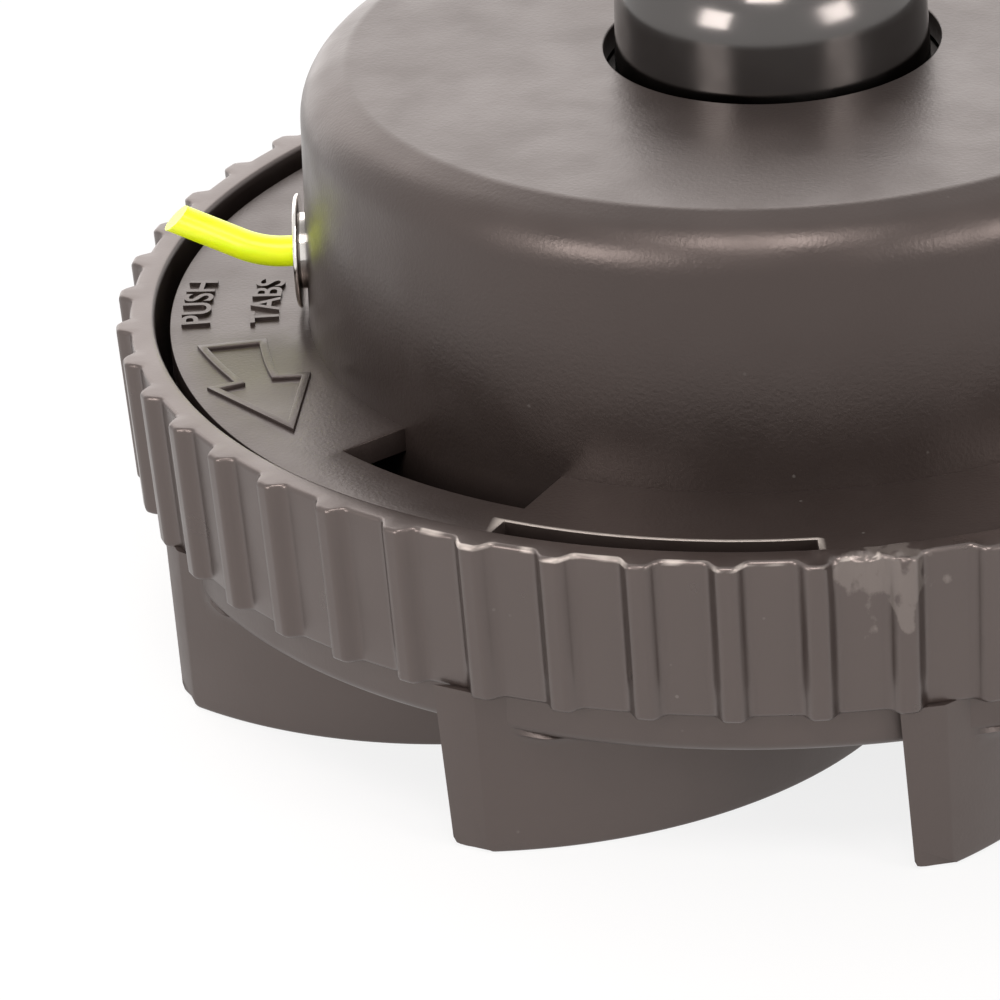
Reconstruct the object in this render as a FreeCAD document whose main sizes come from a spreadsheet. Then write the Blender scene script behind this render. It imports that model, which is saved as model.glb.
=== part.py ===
import FreeCAD, Part
import math
import os

import Sketcher

# A bump feed trimmer head, knob up: vane tips at z = 0, spin axis on Z, line eyelets on +X and -X.
# Lengths are in millimetres and angles in degrees, anticlockwise from +X seen from above.
SIZES = {
    # grip ring and floor of the base
    "ring_radius": 65.0,
    "ring_draft": 0.9,
    "ring_wall": 3.8,
    "ring_height": 16.15,
    "ring_edge_round": 0.5,
    "rib_count": 50,
    "rib_height": 1.3,
    "rib_crest_width": 2.4,
    "rib_foot_width": 4.7,
    "rib_root_depth": 0.8,
    "rib_round": 1.0,
    "rib_azimuth": 5.4,
    "floor_inset": 3.0,
    "floor_drop": 4.1,
    "floor_thickness": 2.5,
    "floor_edge_round": 1.0,
    # fan vanes under the floor
    "vane_count": 9,
    "vane_depth": 16.5,
    "vane_thickness": 1.8,
    "vane_tip_inset": 1.6,
    "vane_tip_draft": 0.3,
    "vane_tip_bevel": 0.5,
    "vane_tip_round": 0.5,
    "vane_overrun": 3.0,
    "vane_inner_radius": 27.5,
    "vane_sweep": 63.0,
    "vane_curve_radius": 41.7,
    "vane_azimuth": 232.5,
    # boss and steel spindle
    "boss_radius": 15.0,
    "boss_lift": 2.0,
    "thread_radius": 4.375,
    "thread_depth": 20.0,
    "spindle_radius": 6.0,
    "spindle_lead": 5.0,
    "spindle_chamfer": 1.0,
    "shank_radius": 7.0,
    "collar_width": 17.0,
    "collar_height": 6.0,
    "collar_lift": 3.0,
    "insert_clearance": 0.05,
    # cover plate and hub cup
    "plate_gap": 1.4,
    "plate_width": 13.6,
    "plate_recess": 1.45,
    "plate_thickness": 2.4,
    "plate_edge_round": 0.4,
    "skirt_thickness": 2.2,
    "seat_clearance": 0.05,
    "hub_draft": 0.6,
    "hub_slope": 4.6,
    "hub_height": 26.0,
    "hub_shoulder_drop": 2.0,
    "hub_shoulder_round": 5.0,
    "hub_flat_round": 2.0,
    "hub_foot_round": 0.5,
    "hub_wall": 2.6,
    "hub_roof": 2.4,
    "cup_corner_round": 2.0,
    "knob_hole_gap": 1.3,
    "knob_hole_round": 0.4,
    "spigot_depth": 3.6,
    "spigot_clearance": 0.3,
    "guide_wall": 1.8,
    "guide_height": 6.0,
    # latches
    "latch_count": 2,
    "window_azimuth": 230.85,
    "window_span": 23.9,
    "window_width": 7.2,
    "slot_azimuth": 257.3,
    "slot_span": 30.0,
    "slot_width": 3.4,
    "slot_depth": 7.0,
    "hook_span": 16.0,
    "hook_gap": 0.6,
    "hook_thickness": 2.0,
    "hook_nose_gap": 0.6,
    "hook_nose_height": 2.4,
    "catch_wall": 1.8,
    "catch_depth": 7.0,
    "catch_lip_height": 2.0,
    "latch_clearance": 0.3,
    # spool, windings and feed stops
    "spool_lift": 8.1,
    "spool_gap": 1.4,
    "spool_head_gap": 4.1,
    "spool_core_wall": 2.8,
    "spool_end_flange": 2.0,
    "spool_mid_flange": 1.6,
    "winding_inset": 5.1,
    "winding_clearance": 0.15,
    "winding_bite": 1.1,
    "turn_count": 3,
    "spring_chamber_radius": 12.2,
    "spring_chamber_depth": 20.0,
    "neck_radius": 12.0,
    "neck_height": 12.0,
    "guide_clearance": 0.3,
    "lug_count": 4,
    "lug_span": 14.0,
    "bump_travel": 5.0,
    "bump_clearance": 0.5,
    "lug_width": 5.0,
    "upper_lug_gap": 2.5,
    "lower_lug_inset": 11.1,
    "upper_lug_azimuth": 15.0,
    "lower_lug_azimuth": 45.0,
    "stop_span": 14.0,
    "stop_margin": 0.8,
    "upper_stop_gap": 1.0,
    "upper_stop_azimuth": 0.0,
    "lower_stop_azimuth": 89.0,
    # bump knob
    "knob_radius": 15.2,
    "knob_rise": 12.5,
    "knob_draft": 0.5,
    "knob_round": 8.0,
    "knob_flange_width": 2.8,
    "knob_flange_gap": 0.3,
    "knob_fit": 0.05,
    # spring and washer
    "spring_wire": 1.6,
    "spring_turns": 6.0,
    "spring_gap": 0.1,
    "washer_bore_clearance": 1.4,
    "washer_edge_clearance": 0.4,
    "washer_thickness": 1.5,
    # eyelets and line
    "line_diameter": 3.0,
    "eyelet_lift": 0.4,
    "eyelet_bore_clearance": 0.45,
    "eyelet_wall": 1.4,
    "eyelet_fit": 0.05,
    "eyelet_flange_radius": 5.6,
    "eyelet_flange_thickness": 0.8,
    "eyelet_standoff": 0.3,
    "eyelet_seat": 0.3,
    "eyelet_inner_flange": 1.0,
    "eyelet_inner_thickness": 0.7,
    "eyelet_edge_round": 0.35,
    "line_run": 0.8,
    "line_bend_radius": 10.0,
    "line_bend": 26.0,
    "line_tail": 9.2,
    "line_lift": 40.0,
    "line_cut_reach": 6.0,
    "line_cut_back": 2.5,
}

doc = FreeCAD.newDocument("TrimmerHead")
sheet = doc.addObject("Spreadsheet::Sheet", "Sizes")
for row, (alias, number) in enumerate(SIZES.items(), start=1):
    sheet.set(f"A{row}", alias)
    sheet.set(f"B{row}", str(number))
    sheet.setAlias(f"B{row}", alias)
doc.recompute()


class Size:
    """A length or angle, held as a number and as the sheet expression that gives it."""

    def __init__(self, number, text):
        self.number = number
        self.text = text

    def __add__(self, other):
        other = as_size(other)
        return Size(self.number + other.number, f"({self.text} + {other.text})")

    def __sub__(self, other):
        other = as_size(other)
        return Size(self.number - other.number, f"({self.text} - {other.text})")

    def __mul__(self, factor):
        factor = as_size(factor)
        return Size(self.number * factor.number, f"({self.text} * {factor.text})")

    def __truediv__(self, divisor):
        return Size(self.number / divisor, f"({self.text} / {divisor})")

    def __neg__(self):
        return self * -1

    def sine(self):
        """Return the sine of an angle."""
        return Size(math.sin(math.radians(self.number)), f"sin({self.text} * 1 deg)")

    def cosine(self):
        """Return the cosine of an angle."""
        return Size(math.cos(math.radians(self.number)), f"cos({self.text} * 1 deg)")


def as_size(value):
    """Return value as a Size."""
    return value if isinstance(value, Size) else Size(value, str(value))


def size(alias):
    """Return the sheet's value of that name."""
    return Size(SIZES[alias], f"Sizes.{alias}")


AXIS = as_size(0)
ROUND_TRIP = 360

# heights and radii that several pieces share
ring_foot = size("vane_depth")
ring_top = ring_foot + size("ring_height")
ring_foot_radius = size("ring_radius") - size("ring_draft")
ring_inner_radius = size("ring_radius") - size("ring_wall")
floor_radius = size("ring_radius") - size("floor_inset")
floor_under = ring_foot - size("floor_drop")
floor_top = floor_under + size("floor_thickness")
vane_tip_radius = size("ring_radius") - size("vane_tip_inset")
vane_start_radius = size("ring_radius") + size("vane_overrun")
plate_radius = ring_inner_radius - size("plate_gap")
plate_top = ring_top - size("plate_recess")
plate_under = plate_top - size("plate_thickness")
hub_foot_radius = plate_radius - size("plate_width")
hub_shoulder_radius = hub_foot_radius - size("hub_draft")
hub_top = plate_top + size("hub_height")
roof_under = hub_top - size("hub_roof")
cup_radius = hub_shoulder_radius - size("hub_wall")
spigot_foot = floor_top + size("guide_height") - size("spigot_depth")
guide_radius = hub_foot_radius + size("spigot_clearance")
guide_outer_radius = guide_radius + size("guide_wall")
collar_foot = size("boss_lift") + size("collar_lift")
window_outer_radius = hub_foot_radius + size("window_width")
hook_inner_radius = guide_outer_radius + size("hook_gap")
hook_radius = hook_inner_radius + size("hook_thickness")
catch_foot = plate_under - size("catch_depth")
catch_top = catch_foot + size("catch_lip_height")
nose_foot = catch_top + size("latch_clearance")
spool_foot = floor_top + size("spool_lift")
spool_top = roof_under - size("spool_head_gap")
spool_flange_radius = cup_radius - size("spool_gap")
spool_core_radius = size("spring_chamber_radius") + size("spool_core_wall")
winding_space = (spool_top - spool_foot - size("spool_end_flange") * 2 - size("spool_mid_flange")) / 2
winding_radius = spool_flange_radius - size("winding_inset")
lower_space = spool_foot + size("spool_end_flange")
mid_flange = lower_space + winding_space
upper_space = mid_flange + size("spool_mid_flange")
top_flange = upper_space + winding_space
neck_top = spool_top + size("neck_height")
chamber_roof = spool_foot + size("spring_chamber_depth")
spindle_top = chamber_roof + size("spindle_lead")
spool_bore = size("spindle_radius") + size("guide_clearance")
knob_bore = size("neck_radius") + size("knob_fit")
knob_top = hub_top + size("knob_rise")
knob_flange_radius = size("knob_radius") + size("knob_flange_width")
lug_height = size("spool_lift") - size("bump_travel") - size("bump_clearance")
upper_lug_radius = knob_flange_radius + size("upper_lug_gap")
lower_lug_radius = spool_flange_radius - size("lower_lug_inset")
washer_foot = chamber_roof - size("washer_thickness") - size("spring_gap")
washer_inner_radius = size("spindle_radius") + size("washer_bore_clearance")
washer_outer_radius = size("spring_chamber_radius") - size("washer_edge_clearance")
line_radius = size("line_diameter") / 2
eyelet_height = plate_top + size("eyelet_flange_radius") + size("eyelet_lift")
eyelet_bore = line_radius + size("eyelet_bore_clearance")
eyelet_barrel = eyelet_bore + size("eyelet_wall")
eyelet_inside = cup_radius - size("eyelet_seat")
eyelet_face = hub_foot_radius + size("eyelet_standoff") + size("eyelet_flange_thickness")


def make_body(label):
    """Return a new, empty body with that label."""
    body = doc.addObject("PartDesign::Body", label)
    body.Label = label
    return body


def make_sketch(body, name, role="XY_Plane", offset=(AXIS, AXIS, AXIS), turn=None, about=(0, 0, 1)):
    """Attach a sketch to one of the body's origin planes, moved by offset and turned about an axis."""
    sketch = body.newObject("Sketcher::SketchObject", f"{body.Label}_{name}")
    plane = [item for item in body.Origin.OriginFeatures if item.Role == role][0]
    sketch.AttachmentSupport = [(plane, "")]
    sketch.MapMode = "FlatFace"
    rotation = FreeCAD.Rotation(FreeCAD.Vector(*about), turn.number if turn else 0)
    place = FreeCAD.Vector(*[part.number for part in offset])
    sketch.AttachmentOffset = FreeCAD.Placement(place, rotation)
    for letter, part in zip("xyz", offset):
        if part is not AXIS:
            sketch.setExpression(f"AttachmentOffset.Base.{letter}", part.text)
    if turn:
        sketch.setExpression("AttachmentOffset.Rotation.Angle", turn.text)
    return sketch


def bind(sketch, kind, *arguments):
    """Add a dimension whose value, the last argument, follows the sheet."""
    value = arguments[-1]
    number = math.radians(value.number) if kind == "Angle" else value.number
    index = sketch.addConstraint(Sketcher.Constraint(kind, *arguments[:-1], number))
    unit = " * 1 deg" if kind == "Angle" else ""
    sketch.setExpression(f"Constraints[{index}]", value.text + unit)


def pin_point(sketch, geometry, position, x, y):
    """Place a sketch point at (x, y), on an axis where a coordinate is AXIS."""
    for kind, axis, value in (("DistanceX", -2, x), ("DistanceY", -1, y)):
        if value is AXIS:
            sketch.addConstraint(Sketcher.Constraint("PointOnObject", geometry, position, axis))
        else:
            bind(sketch, kind, -1, 1, geometry, position, value)


def outline(sketch, corners):
    """Draw a closed outline of straight sides.

    Each corner is (x, y) for a sharp one or (x, y, radius) for a rounded one.
    """
    points = [FreeCAD.Vector(corner[0].number, corner[1].number, 0) for corner in corners]
    count = len(corners)
    setbacks = []
    for index, corner in enumerate(corners):
        before = (points[index - 1] - points[index]).normalize()
        after = (points[(index + 1) % count] - points[index]).normalize()
        radius = corner[2].number if len(corner) == 3 else 0
        half_angle = before.getAngle(after) / 2
        setbacks.append((before, after, radius / math.tan(half_angle), half_angle))
    sides = []
    for index in range(count):
        following = (index + 1) % count
        start = points[index] + setbacks[index][1] * setbacks[index][2]
        end = points[following] + setbacks[following][0] * setbacks[following][2]
        sides.append(sketch.addGeometry(Part.LineSegment(start, end)))
    for index, corner in enumerate(corners):
        incoming = sides[index - 1]
        outgoing = sides[index]
        if len(corner) == 2:
            sketch.addConstraint(Sketcher.Constraint("Coincident", incoming, 2, outgoing, 1))
            pin_point(sketch, outgoing, 1, corner[0], corner[1])
            continue
        before, after, setback, half_angle = setbacks[index]
        centre = points[index] + (before + after).normalize() * (corner[2].number / math.sin(half_angle))
        first = points[index] + before * setback - centre
        second = points[index] + after * setback - centre
        turns_left = first.cross(second).z > 0
        start, end = (first, second) if turns_left else (second, first)
        circle = Part.Circle(centre, FreeCAD.Vector(0, 0, 1), corner[2].number)
        angles = math.atan2(start.y, start.x), math.atan2(end.y, end.x)
        arc = sketch.addGeometry(Part.ArcOfCircle(circle, *angles))
        ends = (1, 2) if turns_left else (2, 1)
        vertex = sketch.addGeometry(Part.Point(points[index]), True)
        pin_point(sketch, vertex, 1, corner[0], corner[1])
        sketch.addConstraint(Sketcher.Constraint("PointOnObject", vertex, 1, incoming))
        sketch.addConstraint(Sketcher.Constraint("PointOnObject", vertex, 1, outgoing))
        sketch.addConstraint(Sketcher.Constraint("Tangent", incoming, 2, arc, ends[0]))
        sketch.addConstraint(Sketcher.Constraint("Tangent", outgoing, 1, arc, ends[1]))
        bind(sketch, "Radius", arc, corner[2])


def sector(sketch, inner, outer, azimuth, span):
    """Draw a closed sector between two radii, centred on an azimuth."""
    edges = azimuth - span / 2, azimuth + span / 2
    angles = [math.radians(edge.number) for edge in edges]
    spokes = []
    for edge, angle in zip(edges, angles):
        ray = FreeCAD.Vector(math.cos(angle), math.sin(angle), 0)
        spoke = sketch.addGeometry(Part.LineSegment(ray * inner.number, ray * outer.number))
        sketch.addConstraint(Sketcher.Constraint("PointOnObject", -1, 1, spoke))
        bind(sketch, "Angle", spoke, edge)
        spokes.append(spoke)
    for radius, position in ((inner, 1), (outer, 2)):
        circle = Part.Circle(FreeCAD.Vector(), FreeCAD.Vector(0, 0, 1), radius.number)
        arc = sketch.addGeometry(Part.ArcOfCircle(circle, *angles))
        sketch.addConstraint(Sketcher.Constraint("Coincident", arc, 3, -1, 1))
        sketch.addConstraint(Sketcher.Constraint("Coincident", arc, 1, spokes[0], position))
        sketch.addConstraint(Sketcher.Constraint("Coincident", arc, 2, spokes[1], position))
        bind(sketch, "Radius", arc, radius)


def circle(sketch, x, y, radius):
    """Draw a circle."""
    centre = FreeCAD.Vector(x.number, y.number, 0)
    index = sketch.addGeometry(Part.Circle(centre, FreeCAD.Vector(0, 0, 1), radius.number))
    pin_point(sketch, index, 3, x, y)
    bind(sketch, "Radius", index, radius)


def extrude(body, sketch, kind, length, upward=True, midplane=False):
    """Pad or pocket a sketch by a length, up from its plane or down."""
    feature = body.newObject(f"PartDesign::{kind}", f"{sketch.Name}_{kind}")
    feature.Profile = sketch
    feature.setExpression("Length", length.text)
    feature.Midplane = midplane
    feature.Reversed = upward if kind == "Pocket" else not upward
    finish(body, feature, adds=kind == "Pad")
    return feature


def turn(body, sketch, kind="Revolution", axis="V_Axis"):
    """Turn a sketch a full circle about one of its axes, to add or to cut."""
    feature = body.newObject(f"PartDesign::{kind}", f"{sketch.Name}_{kind}")
    feature.Profile = sketch
    feature.ReferenceAxis = (sketch, [axis])
    feature.Angle = ROUND_TRIP
    finish(body, feature, adds=kind == "Revolution")
    return feature


def repeat(body, feature, sketch, count):
    """Repeat a feature evenly round the normal of its sketch."""
    pattern = body.newObject("PartDesign::PolarPattern", f"{feature.Name}_Pattern")
    pattern.Originals = [feature]
    pattern.Axis = (sketch, ["N_Axis"])
    pattern.Angle = ROUND_TRIP
    pattern.setExpression("Occurrences", size(count).text)
    body.Tip = pattern
    finish(body, pattern, adds=None)


def finish(body, feature, adds):
    """Recompute a feature and make sure that it changed the solid the right way."""
    before = feature.BaseFeature.Shape.Volume if feature.BaseFeature else 0
    doc.recompute()
    if "Invalid" in feature.State or feature.Shape.isNull():
        raise RuntimeError(f"{feature.Name} failed")
    change = feature.Shape.Volume - before
    if change == 0 or (adds is not None and (change > 0) != adds):
        raise RuntimeError(f"{feature.Name} changed the volume by {change:.3f}")


def add_sectors(body, name, kind, level, length, inner, outer, azimuth, span, count, upward=True):
    """Add or cut a ring of equal sectors."""
    sketch = make_sketch(body, name, offset=(AXIS, AXIS, level))
    sector(sketch, inner, outer, azimuth, span)
    repeat(body, extrude(body, sketch, kind, length, upward), sketch, count)


def hexagon(sketch, width):
    """Draw a hexagon of that width across flats, with two flats facing +X and -X."""
    flat = width / 2
    half_side = width / (2 * math.sqrt(3))
    point = width / math.sqrt(3)
    outline(sketch, [
        (flat, -half_side), (flat, half_side), (AXIS, point),
        (-flat, half_side), (-flat, -half_side), (AXIS, -point),
    ])


def make_fan_base():
    """The base: floor, grip ring with its ribs, fan vanes, boss, latch hooks and lower feed stops."""
    body = make_body("fan_base")
    valley_top = size("ring_radius") - size("rib_height")
    valley_foot = ring_foot_radius - size("rib_height")
    bore = size("shank_radius") + size("insert_clearance")
    edge = size("ring_edge_round")
    shell = make_sketch(body, "Shell", "XZ_Plane")
    outline(shell, [
        (bore, size("boss_lift")),
        (size("boss_radius"), size("boss_lift")),
        (size("boss_radius"), floor_under),
        (floor_radius, floor_under, size("floor_edge_round")),
        (floor_radius, ring_foot),
        (valley_foot, ring_foot),
        (valley_top, ring_top, edge),
        (ring_inner_radius, ring_top, edge),
        (ring_inner_radius, floor_top),
        (guide_outer_radius, floor_top),
        (guide_outer_radius, floor_top + size("guide_height")),
        (guide_radius, floor_top + size("guide_height")),
        (guide_radius, floor_top),
        (bore, floor_top),
    ])
    turn(body, shell)
    add_vanes(body)
    add_ribs(body)
    pocket = make_sketch(body, "Collar", offset=(AXIS, AXIS, collar_foot))
    hexagon(pocket, size("collar_width") + size("insert_clearance") * 2)
    extrude(body, pocket, "Pocket", size("collar_height"))
    add_sectors(body, "Stops", "Pad", floor_top, lug_height,
                lower_lug_radius - size("stop_margin"),
                lower_lug_radius + size("lug_width") + size("stop_margin"),
                size("lower_stop_azimuth"), size("stop_span"), "lug_count")
    nose_top = nose_foot + size("hook_nose_height")
    add_sectors(body, "Hooks", "Pad", floor_top, nose_top - floor_top,
                hook_inner_radius, hook_radius,
                size("window_azimuth"), size("hook_span"), "latch_count")
    add_sectors(body, "Noses", "Pad", nose_foot, size("hook_nose_height"),
                hook_inner_radius, window_outer_radius - size("hook_nose_gap"),
                size("window_azimuth"), size("hook_span"), "latch_count")
    return body


def add_vanes(body):
    """Curved fan vanes from the ring's lower edge inward, level with the floor inside the base."""
    sketch = make_sketch(body, "Vane", turn=size("vane_azimuth"))
    draw_vane(sketch)
    repeat(body, extrude(body, sketch, "Pad", ring_foot), sketch, "vane_count")
    tip_foot = vane_tip_radius - size("vane_tip_draft")
    outside = vane_start_radius + size("vane_overrun")
    between_tips = size("vane_azimuth") + size("vane_sweep")
    draft = make_sketch(body, "VaneTips", "XZ_Plane", turn=between_tips, about=(0, 1, 0))
    bevel = size("vane_tip_bevel")
    outline(draft, [
        (tip_foot - bevel * 2, -bevel),
        (outside, -bevel),
        (outside, ring_foot),
        (vane_tip_radius, ring_foot),
        (tip_foot, bevel, size("vane_tip_round")),
    ])
    turn(body, draft, "Groove")
    chamber = make_sketch(body, "Chamber", offset=(AXIS, AXIS, floor_top))
    draw_chamber(chamber)
    extrude(body, chamber, "Pocket", size("ring_height"))


def draw_chamber(sketch):
    """Draw the space on the floor: the ring outside the guide wall and the disc inside it."""
    for radius in (ring_inner_radius, guide_outer_radius, guide_radius):
        circle(sketch, AXIS, AXIS, radius)


def draw_vane(sketch):
    """Draw one vane seen from below: two arcs about one centre, from past the tip to the inner end."""
    tip = FreeCAD.Vector(vane_start_radius.number, 0, 0)
    sweep = math.radians(size("vane_sweep").number)
    inner = FreeCAD.Vector(math.cos(sweep), math.sin(sweep), 0) * size("vane_inner_radius").number
    chord = inner - tip
    radius = size("vane_curve_radius")
    height = math.sqrt(radius.number ** 2 - chord.Length ** 2 / 4)
    across = FreeCAD.Vector(-chord.y, chord.x, 0).normalize()
    centre = (tip + inner) / 2 + across * height
    back = radius - size("vane_thickness")
    start = math.atan2(tip.y - centre.y, tip.x - centre.x)
    end = math.atan2(inner.y - centre.y, inner.x - centre.x)
    axis = FreeCAD.Vector(0, 0, 1)
    front_arc = sketch.addGeometry(Part.ArcOfCircle(Part.Circle(centre, axis, radius.number), start, end))
    back_arc = sketch.addGeometry(Part.ArcOfCircle(Part.Circle(centre, axis, back.number), start, end))
    ends = [centre + (corner - centre) * (back.number / radius.number) for corner in (tip, inner)]
    tip_side = sketch.addGeometry(Part.LineSegment(ends[0], tip))
    inner_side = sketch.addGeometry(Part.LineSegment(inner, ends[1]))
    reach = sketch.addGeometry(Part.LineSegment(FreeCAD.Vector(), inner), True)
    for first, first_end, second, second_end in (
        (back_arc, 1, tip_side, 1), (tip_side, 2, front_arc, 1),
        (front_arc, 2, inner_side, 1), (inner_side, 2, back_arc, 2),
        (front_arc, 3, back_arc, 3), (reach, 1, -1, 1), (reach, 2, front_arc, 2),
    ):
        sketch.addConstraint(Sketcher.Constraint("Coincident", first, first_end, second, second_end))
    sketch.addConstraint(Sketcher.Constraint("PointOnObject", front_arc, 1, -1))
    bind(sketch, "DistanceX", -1, 1, front_arc, 1, vane_start_radius)
    bind(sketch, "Radius", front_arc, radius)
    bind(sketch, "Radius", back_arc, back)
    bind(sketch, "Distance", reach, size("vane_inner_radius"))
    bind(sketch, "Angle", reach, size("vane_sweep"))
    sketch.addConstraint(Sketcher.Constraint("PointOnObject", front_arc, 3, tip_side))
    sketch.addConstraint(Sketcher.Constraint("PointOnObject", front_arc, 3, inner_side))


def add_ribs(body):
    """Rounded grip ribs round the ring, with the ring's draft."""
    sections = []
    for name, level, crest in (
        ("RibFoot", ring_foot, ring_foot_radius),
        ("RibTop", ring_top, size("ring_radius")),
    ):
        root = crest - size("rib_height") - size("rib_root_depth")
        half_foot = size("rib_foot_width") / 2
        half_crest = size("rib_crest_width") / 2
        sketch = make_sketch(body, name, offset=(AXIS, AXIS, level), turn=size("rib_azimuth"))
        outline(sketch, [
            (root, -half_foot),
            (crest, -half_crest, size("rib_round")),
            (crest, half_crest, size("rib_round")),
            (root, half_foot),
        ])
        sections.append(sketch)
    rib = body.newObject("PartDesign::AdditiveLoft", "fan_base_Rib")
    rib.Profile = sections[0]
    rib.Sections = [sections[1]]
    rib.Ruled = True
    finish(body, rib, adds=True)
    repeat(body, rib, sections[0], "rib_count")


def make_spool_cover():
    """The cover: plate with a skirt, hub cup, latch windows and catches, upper feed stops."""
    body = make_body("spool_cover")
    skirt_radius = plate_radius - size("skirt_thickness")
    skirt_foot = floor_top + size("seat_clearance")
    shoulder = hub_top - size("hub_shoulder_drop")
    knob_hole = size("knob_radius") + size("knob_hole_gap")
    shell = make_sketch(body, "Shell", "XZ_Plane")
    outline(shell, [
        (knob_hole, roof_under),
        (knob_hole, hub_top, size("knob_hole_round")),
        (hub_shoulder_radius - size("hub_slope"), hub_top, size("hub_flat_round")),
        (hub_shoulder_radius, shoulder, size("hub_shoulder_round")),
        (hub_foot_radius, plate_top, size("hub_foot_round")),
        (plate_radius, plate_top, size("plate_edge_round")),
        (plate_radius, skirt_foot),
        (skirt_radius, skirt_foot),
        (skirt_radius, plate_under),
        (hub_foot_radius, plate_under),
        (hub_foot_radius, spigot_foot),
        (cup_radius, spigot_foot),
        (cup_radius, roof_under, size("cup_corner_round")),
    ])
    turn(body, shell)
    add_sectors(body, "Windows", "Pocket", plate_under, size("plate_thickness") * 2,
                hub_foot_radius, window_outer_radius,
                size("window_azimuth"), size("window_span"), "latch_count")
    add_sectors(body, "Slots", "Pocket", plate_top - size("slot_depth"), size("slot_depth") * 2,
                plate_radius - size("slot_width"), ring_inner_radius,
                size("slot_azimuth"), size("slot_span"), "latch_count")
    add_sectors(body, "Catches", "Pad", catch_foot, size("catch_depth") + size("plate_thickness") / 2,
                window_outer_radius, window_outer_radius + size("catch_wall"),
                size("window_azimuth"), size("window_span"), "latch_count")
    add_sectors(body, "Lips", "Pad", catch_foot, size("catch_lip_height"),
                hook_radius + size("latch_clearance"),
                window_outer_radius + size("catch_wall") / 2,
                size("window_azimuth"), size("window_span"), "latch_count")
    stop_foot = spool_top + size("upper_stop_gap")
    add_sectors(body, "Stops", "Pad", stop_foot, roof_under + size("hub_roof") / 2 - stop_foot,
                upper_lug_radius - size("stop_margin"),
                upper_lug_radius + size("lug_width") + size("stop_margin"),
                size("upper_stop_azimuth"), size("stop_span"), "lug_count")
    holes = make_sketch(body, "EyeletHoles", "YZ_Plane")
    circle(holes, AXIS, eyelet_height, eyelet_barrel + size("eyelet_fit"))
    extrude(body, holes, "Pocket", hub_foot_radius * 3, midplane=True)
    return body


def make_spool():
    """The spool: three flanges on a core, spring chamber, neck for the knob, feed lugs at both ends."""
    body = make_body("spool")
    flange = spool_flange_radius
    core = spool_core_radius
    shell = make_sketch(body, "Shell", "XZ_Plane")
    outline(shell, [
        (spool_bore, chamber_roof),
        (size("spring_chamber_radius"), chamber_roof),
        (size("spring_chamber_radius"), spool_foot),
        (flange, spool_foot),
        (flange, lower_space),
        (core, lower_space),
        (core, mid_flange),
        (flange, mid_flange),
        (flange, upper_space),
        (core, upper_space),
        (core, top_flange),
        (flange, top_flange),
        (flange, spool_top),
        (size("neck_radius"), spool_top),
        (size("neck_radius"), neck_top),
        (spool_bore, neck_top),
    ])
    turn(body, shell)
    add_sectors(body, "UpperLugs", "Pad", spool_top, lug_height,
                upper_lug_radius, upper_lug_radius + size("lug_width"),
                size("upper_lug_azimuth"), size("lug_span"), "lug_count")
    add_sectors(body, "LowerLugs", "Pad", spool_foot, lug_height,
                lower_lug_radius, lower_lug_radius + size("lug_width"),
                size("lower_lug_azimuth"), size("lug_span"), "lug_count", upward=False)
    return body


def make_winding(label, space_foot):
    """The line wound in one half of the spool, with its outer turns."""
    body = make_body(label)
    gap = size("winding_clearance")
    foot = space_foot + gap
    depth = winding_space - gap * 2
    inner = spool_core_radius + gap
    core = make_sketch(body, "Core", "XZ_Plane")
    outer = winding_radius - size("winding_bite")
    outline(core, [(inner, foot), (outer, foot), (outer, foot + depth), (inner, foot + depth)])
    turn(body, core)
    turns = SIZES["turn_count"]
    first = foot + line_radius
    step = (depth - size("line_diameter")) / (turns - 1)
    for number in range(turns):
        section = make_sketch(body, f"Turn{number}", "XZ_Plane")
        circle(section, winding_radius - line_radius, first + step * number, line_radius)
        turn(body, section)
    return body


def make_bump_knob():
    """The turned steel cap, with the flange that keeps it under the hub's roof."""
    body = make_body("bump_knob")
    flange_top = roof_under - size("knob_flange_gap")
    shell = make_sketch(body, "Shell", "XZ_Plane")
    outline(shell, [
        (knob_bore, spool_top),
        (knob_flange_radius, spool_top),
        (knob_flange_radius, flange_top),
        (size("knob_radius"), flange_top),
        (size("knob_radius") - size("knob_draft"), knob_top, size("knob_round")),
        (AXIS, knob_top),
        (AXIS, neck_top + size("knob_fit")),
        (knob_bore, neck_top + size("knob_fit")),
    ])
    turn(body, shell)
    return body


def make_drive_spindle():
    """The steel spindle: shank with a hexagon collar in the boss, guide for the spool, tapped end."""
    body = make_body("drive_spindle")
    thread_end = size("boss_lift") + size("thread_depth")
    shell = make_sketch(body, "Shell", "XZ_Plane")
    outline(shell, [
        (size("thread_radius"), size("boss_lift")),
        (size("shank_radius"), size("boss_lift")),
        (size("shank_radius"), floor_top),
        (size("spindle_radius"), floor_top),
        (size("spindle_radius"), spindle_top - size("spindle_chamfer")),
        (size("spindle_radius") - size("spindle_chamfer"), spindle_top),
        (AXIS, spindle_top),
        (AXIS, thread_end),
        (size("thread_radius"), thread_end),
    ])
    turn(body, shell)
    collar = make_sketch(body, "Collar", offset=(AXIS, AXIS, collar_foot + size("insert_clearance")))
    hexagon(collar, size("collar_width"))
    circle(collar, AXIS, AXIS, (size("thread_radius") + size("shank_radius")) / 2)
    extrude(body, collar, "Pad", size("collar_height") - size("insert_clearance") * 2)
    return body


def make_spring_washer():
    """The thrust washer between the spring and the turning spool."""
    body = make_body("spring_washer")
    ring = make_sketch(body, "Ring", offset=(AXIS, AXIS, washer_foot))
    circle(ring, AXIS, AXIS, washer_outer_radius)
    circle(ring, AXIS, AXIS, washer_inner_radius)
    extrude(body, ring, "Pad", size("washer_thickness"))
    return body


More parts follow.
